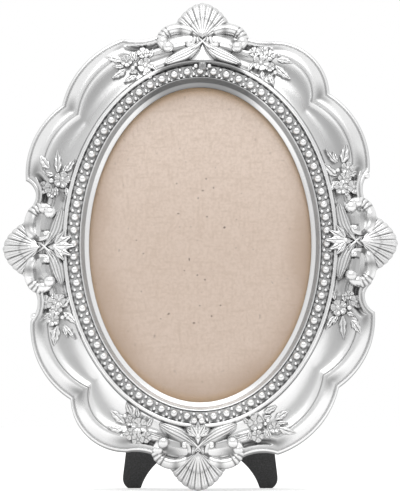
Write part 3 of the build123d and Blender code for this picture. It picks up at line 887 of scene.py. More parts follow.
@dataclass
class Moulding:
    """Oval moulding: rim, bead track, ridge, cove, crease and scalloped band.

    Args:
        outline: Scalloped outer line.
        sight: Size of the window.
        pocket: Size of the rabbet behind it.
        ledge: Height of the rabbet's ledge.
        ridge: Distance of the ridge's foot outside the window.
        crease: Inset of the crease from the outer edge.
        chords: Points to each arc of the outline.
        foot_height: Height that carries an ornament at the ridge's foot.
        crease_height: Height that carries it at the crease.
        lip_inset: Inset of the lip from the outer edge.
        lip_height: Height that carries an ornament at the lip.
        edge_height: Least height that carries it.
        dip_lift: Lift of the edge in a dip of the outline.
        curl_span: Insets between which the edge curls up there.
        curl_height: Heights between which it curls up.
        dip_hollow: Depth of the hollow behind that edge.
        dip_place: Inset of that hollow and its spread.
        dip_shade: Painted shade in that hollow: fall of its relief value there.
        rim_shade_top: Painted shade on the rim at the top: fall of its relief value there.
        rim_light_bottom: Painted light on the rim at the bottom: rise of its relief value there.
        rim_span: Distances outside the window between which the rim ends.
        rim_top: How far up a place faces, as shares, between which the rim is painted darker.
        rim_bottom: How far down it faces between which the rim is painted brighter.
        ridge_shade_top: Painted shadow on the ridge at the top: fall of its relief value there.
        ridge_top: How far up a place faces between which the ridge is painted darker.
        ridge_span: Distances outside the window between which the ridge starts.
        cove_light_bottom: Painted light on the cove at the bottom: rise of its relief value there.
        cove_shade_top: Painted shade on the cove at the top: fall of its relief value there.
        cove_side: How far up or down a place faces between which the cove changes.
        notch_shade: Painted shade on the band at the corners of the outline: fall of its relief value there.
        notch_spread: Reach of that fall along the band.
        notch_place: Inset of that fall and its spread across the band.
        rim: Profile from the window to the ridge: distance outside the window, height and relief value.
        cove: Share of the way from the ridge to the crease, height and relief value.
        band: Inset from the outer edge, height and relief value.
    """

    outline: ScallopOutline = ScallopOutline()
    sight: Point = (118.4, 169.4)
    pocket: Point = (128.0, 179.0)
    ledge: float = 8.5
    ridge: float = 14.6
    crease: float = 9.6
    chords: int = 26
    foot_height: float = 12.0
    crease_height: float = 9.4
    lip_inset: float = 1.6
    lip_height: float = 4.0
    edge_height: float = 3.0
    dip_lift: float = 2.6
    curl_span: Span = (4.4, 3.2)
    curl_height: Span = (2.0, 4.0)
    dip_hollow: float = 2.4
    dip_place: Span = (5.4, 1.2)
    dip_shade: float = 0.7
    rim_shade_top: float = 0.58
    rim_light_bottom: float = 0.28
    rim_span: Span = (5.4, 5.0)
    rim_top: Span = (0.70, 0.92)
    rim_bottom: Span = (0.4, 0.9)
    ridge_shade_top: float = 0.85
    ridge_top: Span = (0.86, 0.93)
    ridge_span: Span = (11.0, 11.8)
    cove_light_bottom: float = 0.24
    cove_shade_top: float = 0.05
    cove_side: Span = (0.1, 0.7)
    notch_shade: float = 0.56
    notch_spread: float = 6.5
    notch_place: Span = (5.2, 2.4)
    # The relief values of these profiles are patina and also painted light and shade: bright crests, dark
    # lines in the grooves and at the foot of the ridge, and a graded cove.
    rim: Rows = (
        (0.0, 8.5, 0.5), (0.02, 9.0, 0.75), (0.35, 9.3, 0.9), (1.3, 9.9, 1.0), (2.3, 10.5, 0.95),
        (2.5, 10.6, 0.52), (2.8, 10.9, 0.55), (3.6, 11.75, 0.57), (4.4, 12.6, 0.62), (4.9, 12.95, 0.98),
        (5.25, 12.7, 0.8), (5.4, 12.0, 0.7), (6.2, 11.65, 0.78), (8.5, 11.6, 0.78), (10.9, 11.65, 0.78),
        (11.7, 12.0, 0.7), (11.85, 13.0, 0.75), (12.2, 14.3, 1.0), (13.1, 14.9, 1.0), (14.0, 14.3, 1.0),
        (14.4, 13.0, 0.9), (14.55, 11.9, 0.35), (14.8, 11.5, 0.35),
    )
    cove: Rows = (
        (0.015, 11.6, 0.85), (0.10, 11.1, 0.82), (0.28, 9.9, 0.74), (0.5, 9.05, 0.68), (0.72, 8.95, 0.70),
        (0.88, 9.5, 0.9), (0.96, 10.0, 1.0), (0.995, 10.05, 0.9),
    )
    band: Rows = (
        (9.45, 9.6, 0.6), (9.2, 9.35, 0.6), (8.6, 9.5, 0.95), (7.0, 9.35, 1.0), (5.0, 8.4, 1.0),
        (3.2, 6.6, 1.0), (2.1, 4.95, 0.9), (1.8, 4.6, 0.7), (1.6, 4.55, 0.7), (1.25, 4.75, 0.95),
        (0.5, 4.5, 1.0), (0.12, 3.9, 0.6), (0.0, 3.2, 0.45), (0.0, 0.4, 0.45), (0.4, 0.0, 0.6),
    )

    def oval(self, ring: Array, grow: float) -> Array:
        """Points on an oval outside the window, in the directions of a ring."""
        half = np.array(self.sight) / 2 + grow
        return ring / np.linalg.norm(ring / half, axis=-1, keepdims=True)

    def reaches(self, points: Array) -> tuple[Array, Array]:
        """Places of some points between the ridge's foot and the crease.

        Args:
            points: Points of the face.

        Returns:
            Share of the way from the foot to the crease, and distance beyond the crease.
        """
        crease = self.outline.ring(self.crease, 8)
        angle = np.arctan2(crease[:, 1], crease[:, 0])
        order = np.argsort(angle)
        turn = np.arctan2(points[..., 1], points[..., 0])
        reach = np.interp(turn, angle[order], np.linalg.norm(crease, axis=1)[order], period=2 * math.pi)
        foot = np.linalg.norm(self.oval(points, self.ridge), axis=-1)
        distance = np.linalg.norm(points, axis=-1)
        return (distance - foot) / (reach - foot), distance - reach

    def level(self, points: Array) -> Array:
        """Height that carries an ornament: from the ridge's foot to the crease, then down the band.

        Args:
            points: Points of the face.

        Returns:
            Height at each point.
        """
        share, beyond = self.reaches(points)
        inside = self.foot_height + (self.crease_height - self.foot_height) * np.clip(share, 0, 1)
        fall = (self.crease_height - self.lip_height) / (self.crease - self.lip_inset)
        return np.maximum(inside - fall * np.maximum(beyond, 0), self.edge_height)

    def skin(self, points: Array) -> Array:
        """Height of the cove and the band themselves, to which the edges of the ornaments cling.

        Args:
            points: Points of the face.

        Returns:
            Height at each point.
        """
        share, beyond = self.reaches(points)
        cove, band = np.array(self.cove), np.array(self.band)[::-1]
        inside = np.interp(share, cove[:, 0], cove[:, 1])
        return np.where(share < 1, inside, np.interp(self.crease - beyond, band[1:, 0], band[1:, 1]))

    def stations(self) -> tuple[Array, Array]:
        """Rings of the whole profile, from the window over the front and round the back.

        The rim, the cove and the band are smooth curves through their tables. In the dips of the
        outline the edge curls up and the band behind it is hollowed and painted darker. The relief value
        also carries painted light and shade by where a place faces: the rim, the ridge and the cove are
        painted darker at the top of the face, the rim and the cove brighter at its bottom, and the band
        darker at the corners of the outline.

        Returns:
            Grid of points and relief value of each.
        """
        crease = self.outline.ring(self.crease, self.chords)
        _, length, _, _, sign = self.outline.circles()
        along = np.arange(self.chords) / self.chords
        dip = (np.where(sign < 0, 1.0, 0.0)[:, None] * np.sin(math.pi * along) ** 0.8).reshape(-1)
        apart = np.minimum(along, 1 - along) * length[:, None]
        # Painted shade on the band near the corners of the outline.
        notch = bells(apart.reshape(-1), (0.0,), self.notch_spread)
        facing = crease / (np.array(self.sight) / 2) ** 2
        upward = facing[:, 1] / np.linalg.norm(facing, axis=1)
        # Painted shade and light: the rim, the ridge and the cove darker at the top of the face, the rim and
        # the cove brighter at its bottom.
        rim_shade_and_light = self.rim_shade_top * smooth_step(upward, *self.rim_top)
        rim_shade_and_light = rim_shade_and_light - self.rim_light_bottom * smooth_step(-upward, *self.rim_bottom)
        ridge = self.ridge_shade_top * smooth_step(upward, *self.ridge_top)
        cove = self.cove_light_bottom * smooth_step(-upward, *self.cove_side)
        cove = cove - self.cove_shade_top * smooth_step(upward, *self.cove_side)
        rings, relief = [], []

        def put(ring: Array, height: Array, shade: Array) -> None:
            """Adds a ring of the profile."""
            rings.append(np.hstack([ring, np.broadcast_to(height, len(ring))[:, None]]))
            relief.append(np.broadcast_to(shade, len(ring)))

        for grow, height, shade in curve_through(self.rim, 96):
            change = rim_shade_and_light * smooth_step(grow, *self.rim_span) + ridge * smooth_step(grow, *self.ridge_span)
            put(self.oval(crease, grow), height, np.clip(shade, 0, 1) - change)
        foot = self.oval(crease, self.ridge)
        for share, height, shade in curve_through(self.cove, 30):
            put(foot + (crease - foot) * share, height, np.clip(shade, 0, 1) + cove)
        for inset, height, shade in curve_through(self.band, 60):
            inset = max(inset, 0.0)
            curl = smooth_step(inset, *self.curl_span) * smooth_step(height, *self.curl_height)
            # Painted shade: the hollow behind the curled edge of a dip is painted darker besides being
            # hollowed.
            hollow = bells(inset, self.dip_place[:1], self.dip_place[1])
            middle = bells(inset, self.notch_place[:1], self.notch_place[1])
            put(self.outline.ring(inset, self.chords),
                height + dip * (self.dip_lift * curl - self.dip_hollow * hollow),
                np.clip(shade, 0, 1) - dip * self.dip_shade * hollow - self.notch_shade * notch * middle)
        back_oval = self.oval(crease, (self.pocket[0] - self.sight[0]) / 2)
        put(back_oval, 0.0, 0.6)
        put(back_oval, self.ledge, 0.5)
        return np.stack(rings), np.stack(relief)

    def build(self, material: Material) -> bpy.types.Object:
        """Makes the moulding.

        Args:
            material: Material.

        Returns:
            The object.
        """
        points, relief = self.stations()
        carving = Carving("moulding_surface")
        carving.add(points, grid_faces(*points.shape[:2], True, True), relief)
        return carving.build(material, 50.0)


# Ornaments


@dataclass(frozen=True)
class Seat:
    """Place of an ornament on the face.

    Args:
        origin: Point of the face.
        heading: Angle in degrees by which the ornament is turned, counter-clockwise.
        side: Hand of the ornament.
    """

    origin: Point
    heading: float
    side: Side = Side.RIGHT

    def place(self, points: Array) -> Array:
        """Ornament points as points of the face.

        Args:
            points: Points with x sideways and y outwards.

        Returns:
            Points of the face.
        """
        a = math.radians(self.heading)
        matrix = np.array([[math.cos(a), math.sin(a)], [-math.sin(a), math.cos(a)]])
        return np.asarray(points, float) * (self.side.value, 1) @ matrix + self.origin

    def hands(self) -> tuple["Seat", "Seat"]:
        """The same seat for each hand."""
        right, left = (Seat(self.origin, self.heading, side) for side in Side)
        return right, left

    def opposite(self) -> "Seat":
        """The seat half a turn round the face."""
        return Seat((-self.origin[0], -self.origin[1]), self.heading + 180, self.side)


@dataclass
class Ornament:
    """Base of all carved pieces: they stand on the moulding.

    Args:
        moulding: Moulding that carries the piece.
        name: CAD node that it stands for.
        seat: Its place.
        base: Height of its underside.
    """

    moulding: Moulding
    name: str
    seat: Seat
    base: float = 1.8

    def build(self, material: Material) -> bpy.types.Object:
        """Makes the piece.

        Args:
            material: Material.

        Returns:
            The object.
        """
        self.carving = Carving(f"{self.name}_carving")
        self.carve()
        return self.carving.build(material, 60.0)

    def carve(self) -> None:
        """Adds the surfaces of the piece to its carving."""
        raise NotImplementedError

    def raised(self, seat: Seat, points: Array, rise: Array, cling: Array = 0.0) -> Array:
        """Points of an ornament at a rise above the moulding.

        Args:
            seat: Place and hand.
            points: Ornament points.
            rise: Rise of each point.
            cling: How far each point follows the moulding's own surface, 0 where it spans the cove.

        Returns:
            Face points with their height.
        """
        face = seat.place(points)
        level = self.moulding.level(face)
        height = level + (self.moulding.skin(face) - level) * cling + rise
        return np.concatenate([face, height[..., None]], -1)

    def leaf(self, seat: Seat, root: Point, heading: float, length: float, turn: float, width: float,
             rise: float, veins: int, clear: bool = False) -> None:
        """Adds a pointed leaf along an arc.

        Half width: a sine swelling that is fullest at two fifths. Height: a low arch across the leaf with
        a sharp groove along the middle and slanting side veins.

        Args:
            seat: Place and hand.
            root: Root of the leaf.
            heading: Heading at the root in degrees.
            length: Length along the arc.
            turn: Turn of the heading along the leaf in degrees.
            width: Greatest width.
            rise: Rise of its crest above the moulding.
            veins: Number of side veins.
            clear: Whether its edges stand clear of the moulding, as over the beads.
        """
        t = np.linspace(0, 1, 36)
        facing = np.radians(heading + turn * t)
        path = np.array(root) + np.cumsum(compass(facing), 0) * (length / (len(t) - 1))
        s = np.linspace(-1, 1, 25)
        swell = np.sin(math.pi * t**0.75) ** 0.8 * (1 - 0.12 * t) + 0.10 * (1 - t)
        half = width / 2 * swell * (1 + 0.07 * np.cos(2 * math.pi * veins * t))
        normal = compass(facing + math.pi / 2)
        flat = path[:, None] + normal[:, None] * (half[:, None] * s)[..., None]
        arch = np.broadcast_to(1 - np.abs(s) ** 5, (len(t), len(s)))
        groove = bells(s, (0.0,), 0.09)
        vein = np.cos(2 * math.pi * (veins * t[:, None] - 1.1 * np.abs(s)))
        fade = np.sin(math.pi * np.clip(t, 0, 1))[:, None] ** 0.5
        foot = 0.72 if clear else 0.10
        height = rise * (foot + (1 - foot) * arch) - 0.5 * groove * fade + 0.14 * vein * (1 - groove) * fade
        # Painted shade: the edges and the middle groove of the leaf are darker than its crest.
        shade = np.clip(0.55 + 0.45 * arch - 0.45 * groove * fade + 0.10 * vein, 0, 1)
        cling = 0.0 if clear else 1 - 0.45 * arch
        self.carving.pillow(self.raised(seat, flat, height, cling), self.base, shade)

    def strap(self, seat: Seat, table: Rows, rise: float, grooves: tuple[float, ...] = (),
              tone_share: float = 1.0, hooks: tuple[float, ...] = ()) -> None:
        """Adds a strap leaf along a smooth path.

        Height: an arch across the leaf with long grooves; both ends are rounded by the half width.

        Args:
            seat: Place and hand.
            table: Points of the path with the half width at each.
            rise: Rise of its crest above the moulding.
            grooves: Places of the grooves across the leaf, from -1 to 1.
            tone_share: Share of the full relief value that the leaf keeps.
            hooks: Places along the leaf, from 0 to 1, of slots in its lower half: shallow dips with painted
                shadow.
        """
        curve = curve_through(table, 48)
        s = np.linspace(-1, 1, 41)
        width = np.maximum(curve[:, 2:], 0.03) * s
        flat = curve[:, None, :2] + sideways(curve[:, :2])[:, None] * width[..., None]
        arch = np.broadcast_to(1 - np.abs(s) ** 3, flat.shape[:2])
        cuts = bells(s, grooves, 0.09)
        slots = bells(np.linspace(0, 1, len(curve))[:, None], hooks, 0.03)
        slots = slots * smooth_step(s, 0.55, 0.1) * smooth_step(s, -0.95, -0.7)
        height = rise * (0.08 + 0.92 * arch) - 0.45 * cuts - 0.5 * slots
        # Painted shade: the edges, the grooves and the slots are darker than the crest.
        tone = tone_share * np.clip(0.62 + 0.38 * arch - 0.5 * cuts, 0, 1)
        top = self.raised(seat, flat, height, 1 - arch)
        self.carving.pillow(top, self.base, np.clip(tone - 0.75 * slots, 0, 1))

    def flower(self, centre: Point, radius: float, rise: float, turn: float, petals: int = 5) -> None:
        """Adds a rosette of cupped petals round a knob.

        Edge: radius times a share that is greatest at the middle of each petal. Height: the petals rise
        outward and curl down at the edge, with a narrow groove between neighbours and round the knob.

        Args:
            centre: Middle of the flower.
            radius: Radius to the tips of the petals.
            rise: Rise of the petals above the moulding.
            turn: Turn of the flower in degrees.
            petals: Number of petals.
        """
        angle = full_turn(120)
        r = np.linspace(0, 1, 30)[:, None]
        middle = np.abs(np.cos(petals * (angle - math.radians(turn)) / 2))
        edge = radius * (0.84 + 0.16 * middle**0.8)
        flat = np.array(centre) + (r * edge)[..., None] * compass(angle)
        knob = np.exp(-((r / 0.24) ** 4))
        moat = bells(r, (0.31,), 0.07)
        gap = bells(middle, (0.0,), 0.24) * smooth_step(r, 0.30, 0.50)
        vein = bells(middle, (1.0,), 0.03) * smooth_step(r, 0.45, 0.6)
        lip = smooth_step(r, 0.88, 1.0)
        cup = 0.66 + 0.16 * smooth_step(r, 0.3, 0.8) + 0.30 * knob
        height = rise * (cup - 0.16 * gap - 0.06 * vein - 0.26 * lip)
        # Painted shade: darker in the moat round the knob, between the petals, along their middles and at
        # their curled edge.
        shade = np.clip(0.82 - 0.22 * moat - 0.28 * gap - 0.12 * vein - 0.20 * lip, 0, 1)
        cling = np.broadcast_to(0.5 + 0.5 * lip, shade.shape)
        self.carving.pillow(self.raised(self.seat, flat, height, cling), self.base, shade, True)

    def knob(self, seat: Seat, x: float, y: float, radius: float, rise: float) -> None:
        """Adds a small ball that stands on the moulding."""
        self.carving.ball(self.raised(seat, np.array([x, y]), np.array(rise)), radius)


@dataclass
class Shell(Ornament):
    """Fan shell: flutes round a hinge, opening away from the window.

    Args:
        radius: Length of the middle flute.
        half_angle: Half the angle of the fan in degrees.
        flutes: Number of flutes.
        side_share: Length of the outermost flute as a share.
        root: Distance from the point of the fan at which the flutes start.
        drop: Distance of that point below the hinge, towards the window.
        spine: Share of the way along a flute and the height there.
        deep_span: Shares of the way between which the grooves deepen.
        groove_depth: Depth of the grooves between the flutes.
        split_span: Shares of the way between which the flutes split.
        step_drop: Drop of the surface at that step.
        roll_span: Shares of the way between which the rim rolls over.
        roll_drop: Drop of the rim.
        side_tuck: Drop of the outermost flutes at their roots.
    """

    radius: float = 20.7
    half_angle: float = 64.0
    flutes: int = 11
    side_share: float = 0.83
    root: float = 0.3
    drop: float = 1.5
    spine: Rows = ((0.0, 11.4), (0.15, 11.2), (0.35, 10.3), (0.7, 7.8), (0.9, 6.4), (1.0, 4.6))
    deep_span: Span = (0.08, 0.62)
    groove_depth: float = 0.9
    split_span: Span = (0.48, 0.58)
    step_drop: float = 0.4
    roll_span: Span = (0.90, 1.0)
    roll_drop: float = 1.2
    side_tuck: float = 2.4

    def carve(self) -> None:
        """Adds the fan.

        Each flute is a round rib that splits in two at a low step halfway; the outline falls off to the
        sides like a sine, and the fan falls from its point and rolls over at the rim.
        """
        fan = np.linspace(-1, 1, 24 * self.flutes + 1)
        phase = (fan + 1) / 2 * self.flutes
        rib, split = (np.abs(np.sin(k * math.pi * phase)) ** 0.7 for k in (1, 2))
        falling = np.sin(math.pi / 2 * np.abs(fan)) ** 1.3
        reach = self.radius * (1 - (1 - self.side_share) * falling) * (0.975 + 0.025 * rib)
        t = np.linspace(0, 1, 56)[:, None]
        distance = self.root + (reach - self.root) * t
        flat = distance[..., None] * compass(np.radians(90 - self.half_angle * fan)) - (0.0, self.drop)
        outer = smooth_step(t, *self.split_span)
        ribs = rib * (1 - outer) + (0.55 * rib + 0.45 * split) * outer
        roll = smooth_step(t, *self.roll_span)
        deep = smooth_step(t, *self.deep_span)
        tucked = self.side_tuck * fan**2 * (1 - smooth_step(t, 0.25, 0.7))
        grooves = self.groove_depth * deep * (1 - ribs) * (1 - 0.5 * roll)
        height = np.interp(t, *np.transpose(self.spine)) - grooves
        height = height - self.step_drop * outer - self.roll_drop * roll**2 - tucked
        # Painted shade: the grooves between the flutes, the foot of the step and the rolled rim are darker;
        # how dark the grooves are varies from flute to flute.
        uneven_groove_shade = 0.10 * np.cos(2.3 * phase) + 0.08 * np.sin(5.1 * phase + 3 * t)
        step = bells(t, (0.57,), 0.035) * rib
        worked = 1 - (1 - ribs) * (0.45 + 0.55 * deep)
        shade = np.clip(0.70 + uneven_groove_shade + (0.26 - uneven_groove_shade) * worked - 0.22 * step - 0.10 * roll, 0, 1)
        top = np.concatenate([self.seat.place(flat), height[..., None]], -1)
        self.carving.pillow(top, self.base, shade)


@dataclass
class Scrolls(Ornament):
    """Pair of C-scrolls that hug a shell.

    Args:
        path: Points of a scroll from its outer ball to its inner curl, with the half width and the rise
            of its crest at each.
        rings: Places of the raised rings, as shares of its length.
        ring_width: Width of a ring, as a share of the length.
        ring_rise: Rise of a ring above the scroll.
        cuts: Places of the dark lines beside them: painted shade, the tube is not cut there.
        cut_width: Width of a cut, as a share of the length.
        hollow: Place of the painted shadow of a hollow at the curl; the tube is not hollowed there.
        dimple_shade: Place of a fainter painted shadow on the back of the scroll.
        knobs: Place, radius and rise of each ball.
        panel: Points of the plain panel inside the scroll, with the half width at each.
        panel_rise: Rise of that panel.
        panel_tone_share: Its share of the full relief value: the panel is painted darker than the other
            leaves.
        hook: Place of the slot beside the curl, along the panel: a shallow dip with painted shadow.
    """

    path: Rows = (
        (18.3, -6.9, 0.0, 3.6), (20.6, -5.9, 1.8, 4.2), (21.9, -3.3, 2.7, 4.6), (21.0, 0.5, 3.0, 5.2),
        (17.6, 3.6, 3.2, 5.4), (12.7, 4.6, 3.2, 5.4), (7.9, 3.8, 3.0, 5.0), (4.9, 1.3, 2.2, 3.0),
        (4.3, -2.0, 1.4, 2.6), (5.6, -4.7, 1.35, 3.2), (7.6, -4.9, 1.3, 3.6), (8.1, -3.4, 0.0, 3.4),
    )
    rings: tuple[float, ...] = (0.245, 0.285, 0.325)
    ring_width: float = 0.011
    ring_rise: float = 0.35
    cuts: tuple[float, ...] = (0.225, 0.265, 0.305, 0.345)
    cut_width: float = 0.007
    hollow: float = 0.64
    dimple_shade: float = 0.47
    knobs: Rows = ((18.4, -6.0, 3.2, 2.2), (21.2, -2.6, 3.0, 2.4), (7.2, -3.9, 1.5, 2.9))
    panel: Rows = (
        (4.6, -2.2, 0.8), (8.4, -2.4, 4.2), (13.0, -3.0, 5.4), (17.0, -4.4, 4.8), (20.6, -6.0, 1.0),
    )
    panel_rise: float = 1.4
    panel_tone_share: float = 0.70
    hook: float = 0.27

    def carve(self) -> None:
        """Adds two scrolls: each a tapering tube with rings, knobs at its ends, a curl and a panel."""
        curve = curve_through(self.path, 170)
        t = np.linspace(0, 1, len(curve))
        rings = bells(t, self.rings, self.ring_width)
        half = np.maximum(curve[:, 2], 0.02) * (1 + 0.10 * rings)
        crest = curve[:, 3] + self.ring_rise * rings
        tall = np.minimum(crest * 0.75, np.maximum(half * 1.25, 0.02))
        # Painted shadow: the relief value falls at the hollow, the dimple and the cuts, where the tube keeps
        # its round shape.
        hollow = smooth_step(np.abs(t - self.hollow), 0.06, 0.02) + 0.45 * bells(t, (self.dimple_shade,), 0.03)
        shade = np.clip(1 - 0.8 * bells(t, self.cuts, self.cut_width) - 0.9 * hollow, 0, 1)
        for hand in self.seat.hands():
            self.carving.tube(self.raised(hand, curve[:, :2], crest - tall), half, tall, shade)
            for knob in self.knobs:
                self.knob(hand, *knob)
            self.strap(hand, self.panel, self.panel_rise, (), self.panel_tone_share, (self.hook,))


@dataclass
class Palmette(Ornament):
    """Palmette between the scrolls: crossed stems, two strap leaves and a bud over the beads.

    Args:
        bud: Form of its bud.
        droop: How far the tips of its leaves bend to the window.
        leaf_path: Points of a strap leaf with the half width at each.
        leaf_grooves: Places of the grooves across a strap leaf.
        rise: Rise of the leaves.
        stem: Points of a stem.
        stem_size: Half width, half height and rise of a stem.
        apron: Points of the plain leaf below them, with the half width at each.
        apron_drop: How much lower that leaf is.
        star: Heading, length and width of the petals of a star bud and the place of their root sideways.
        star_root: Place of the star's root.
        star_rise: Rise of its petals.
        star_knob: Radius and rise of the ball on its root.
        crown_share: Length of the petals of a crown bud as a share.
        crown_knob: Place sideways, radius and rise of the balls of a crown bud.
        block: Half size of a block bud.
        block_place: Distance of its middle from the hinge.
        block_top: Rise of its top.
        block_knob: Place sideways, radius and rise of the balls beside it.
    """

    bud: Bud = Bud.STAR
    droop: float = 0.0
    leaf_path: Rows = (
        (0.6, -3.0, 0.5), (3.6, -6.2, 2.8), (8.6, -9.0, 4.0), (14.6, -10.8, 3.6), (19.0, -12.0, 2.2),
        (20.8, -12.4, 0.2),
    )
    leaf_grooves: tuple[float, ...] = (-0.38, 0.02, 0.42)
    rise: float = 3.4
    stem: Rows = ((2.8, 1.0), (1.4, -1.6), (-0.9, -4.0), (-3.0, -6.2), (-6.0, -8.0))
    stem_size: tuple[float, float, float] = (0.7, 1.4, 2.9)
    apron: Rows = ((0.0, -4.6, 0.4), (0.0, -8.0, 3.2), (0.0, -11.4, 6.0), (0.0, -13.6, 7.0))
    apron_drop: float = 1.2
    star: Rows = ((-90.0, 10.8, 4.4, 0.0), (-62.0, 9.6, 4.4, 0.6), (-36.0, 8.2, 3.8, 1.2))
    star_root: float = -8.8
    star_rise: float = 4.6
    star_knob: Span = (1.4, 3.6)
    crown_share: float = 0.7
    crown_knob: tuple[float, float, float] = (2.0, 1.8, 3.2)
    block: Point = (2.4, 2.5)
    block_place: float = -16.8
    block_top: float = 4.3
    block_knob: tuple[float, float, float] = (3.6, 1.2, 2.9)

    def star_bud(self) -> None:
        """Adds a star of petals, or a crown of short ones with two balls."""
        short = 1.0 if self.bud is Bud.STAR else self.crown_share
        for hand in self.seat.hands():
            for heading, length, width, out in self.star:
                root = (out, self.star_root)
                self.leaf(hand, root, heading, length * short, 0.0, width, self.star_rise, 2, True)
            if self.bud is Bud.CROWN:
                out, radius, rise = self.crown_knob
                self.knob(hand, out, self.block_place, radius, rise)
        self.knob(self.seat, 0.0, self.star_root, *self.star_knob)

    def block_bud(self) -> None:
        """Adds a ribbed block between two balls: its height falls to the sides like a sixth power."""
        across, along = np.meshgrid(np.linspace(-1, 1, 21), np.linspace(-1, 1, 17))
        flat = np.stack([across * self.block[0], self.block_place - along * self.block[1]], -1)
        crown = (1 - across**6) * (1 - along**6)
        ribs = np.cos(3 * math.pi * across) ** 2
        top = self.raised(self.seat, flat, self.block_top * (0.3 + 0.7 * crown) - 0.3 * ribs)
        # Painted shade in the grooves between the ribs.
        self.carving.pillow(top, self.base, 0.62 - 0.2 * ribs * crown)
        out, radius, rise = self.block_knob
        for hand in self.seat.hands():
            self.knob(hand, out, self.block_place, radius, rise)

    def carve(self) -> None:
        """Adds leaves, stems, apron and bud."""
        path = np.array(self.leaf_path)
        path[:, 1] -= self.droop * (path[:, 0] / path[-1, 0]) ** 2
        stem = curve_through(self.stem, 40)
        taper = np.sin(math.pi * np.linspace(0, 1, len(stem))) ** 0.4
        wide, tall, rise = self.stem_size
        for hand in self.seat.hands():
            self.strap(hand, path, self.rise, self.leaf_grooves)
            line = self.raised(hand, stem, np.full(len(stem), rise))
            # Painted shade: the stems are darker towards their ends, where they run into the moulding.
            self.carving.tube(line, np.maximum(wide * taper, 0.02), np.maximum(tall * taper, 0.02), taper, 16)
        self.strap(self.seat, self.apron, self.rise - self.apron_drop)
        if self.bud is Bud.BLOCK:
            self.block_bud()
        else:
            self.star_bud()


@dataclass(frozen=True)
class SprayLay:
    """How the flowers and leaves of a spray lie, from the middle of the face.

    Args:
        flowers: Place and radius of each flower.
        leaves: Root, tip, bow and width of each leaf; the bow is its turn in degrees.
        balls: Place and radius of each small ball.
    """

    flowers: Rows
    leaves: Rows
    balls: Rows


RIGHT_UPPER = SprayLay(
    ((78.5, 40.8, 3.8), (76.6, 35.4, 3.4), (82.2, 31.0, 3.8), (75.2, 30.2, 3.8)),
    (
        (76.0, 43.6, 77.6, 54.2, 10.0, 5.2), (72.6, 43.4, 66.8, 51.2, -6.0, 2.9),
        (73.2, 44.0, 70.8, 50.4, -6.0, 2.7), (73.0, 36.6, 65.6, 43.4, -14.0, 4.5),
        (74.0, 34.0, 69.8, 28.6, 16.0, 4.2), (79.6, 37.0, 84.2, 40.0, 10.0, 3.2),
        (78.4, 29.8, 78.2, 25.4, 8.0, 3.0),
    ),
    ((88.6, 38.0, 1.9), (79.4, 35.2, 1.2), (73.4, 39.6, 1.2), (71.6, 38.6, 1.0)),
)
LEFT_UPPER = SprayLay(
    ((-73.8, 34.4, 4.8), (-83.6, 30.6, 3.6), (-79.2, 27.4, 2.8)),
    (
        (-80.4, 40.8, -85.4, 48.0, -16.0, 4.8), (-76.0, 38.2, -76.3, 50.6, 6.0, 4.4),
        (-71.4, 38.8, -67.2, 46.0, 10.0, 3.6), (-73.4, 38.0, -70.8, 43.6, 8.0, 2.6),
        (-78.0, 36.8, -82.8, 38.2, 14.0, 3.0), (-77.0, 31.0, -76.6, 25.4, -8.0, 3.2),
        (-71.6, 30.4, -70.6, 24.8, 6.0, 3.0),
    ),
    ((-89.6, 38.0, 1.1), (-88.6, 35.4, 1.2), (-87.2, 33.2, 1.2), (-79.4, 34.2, 1.5)),
)
TOP_RIGHT = SprayLay(
    ((32.4, 97.6, 4.6), (33.2, 104.8, 3.4), (36.8, 101.8, 3.4), (28.8, 103.6, 3.0), (37.2, 95.4, 2.8)),
    (
        (40.8, 99.2, 49.2, 97.4, -46.0, 3.8), (40.0, 96.4, 48.2, 89.0, 10.0, 5.0),
        (36.6, 91.6, 39.4, 85.0, -8.0, 3.6), (33.0, 93.4, 34.0, 87.6, 8.0, 3.2),
        (28.6, 98.0, 25.4, 93.0, 12.0, 3.2),
    ),
    ((40.0, 92.4, 1.2), (29.2, 100.4, 1.2), (41.8, 102.4, 1.1)),
)
TOP_LEFT = SprayLay(
    ((-29.4, 96.2, 4.6), (-30.4, 103.0, 3.4), (-39.4, 98.6, 3.4), (-28.0, 91.2, 3.0)),
    (
        (-41.4, 98.6, -51.0, 101.2, 12.0, 4.2), (-39.8, 94.4, -47.0, 89.6, -10.0, 4.2),
        (-40.6, 95.8, -46.6, 95.6, 8.0, 2.8), (-34.0, 90.8, -40.8, 87.2, 8.0, 3.8),
        (-35.6, 98.6, -37.6, 104.4, 6.0, 2.9), (-34.4, 98.8, -34.4, 104.2, -6.0, 2.6),
        (-33.6, 93.4, -38.0, 92.2, 8.0, 3.2), (-26.8, 100.6, -25.2, 105.6, -6.0, 2.8),
        (-25.6, 96.0, -22.6, 93.4, 6.0, 3.0),
    ),
    ((-36.0, 94.8, 1.3), (-34.6, 96.6, 1.1)),
)


@dataclass
class Spray(Ornament):
    """Spray of flowers across the moulding, with broad leaves.

    Args:
        lay: How its flowers and leaves lie.
        flower_rise: Rise of the petals above the moulding.
        flower_turn: Turn from one flower to the next in degrees.
        leaf_rise: Rise of the leaves above the moulding.
        ball_rise: Rise of the small balls.
    """

    lay: SprayLay = RIGHT_UPPER
    flower_rise: float = 3.0
    flower_turn: float = 31.0
    leaf_rise: float = 1.7
    ball_rise: float = 1.2

    def carve(self) -> None:
        """Adds leaves, flowers and balls."""
        for root_x, root_y, tip_x, tip_y, bow, width in self.lay.leaves:
            reach = math.hypot(tip_x - root_x, tip_y - root_y)
            heading = math.degrees(math.atan2(tip_y - root_y, tip_x - root_x)) - bow / 2
            self.leaf(self.seat, (root_x, root_y), heading, reach, bow, width, self.leaf_rise, 3)
        for index, (x, y, radius) in enumerate(self.lay.flowers):
            self.flower((x, y), radius, self.flower_rise, self.flower_turn * index)
        for ball in self.lay.balls:
            self.knob(self.seat, *ball, self.ball_rise)


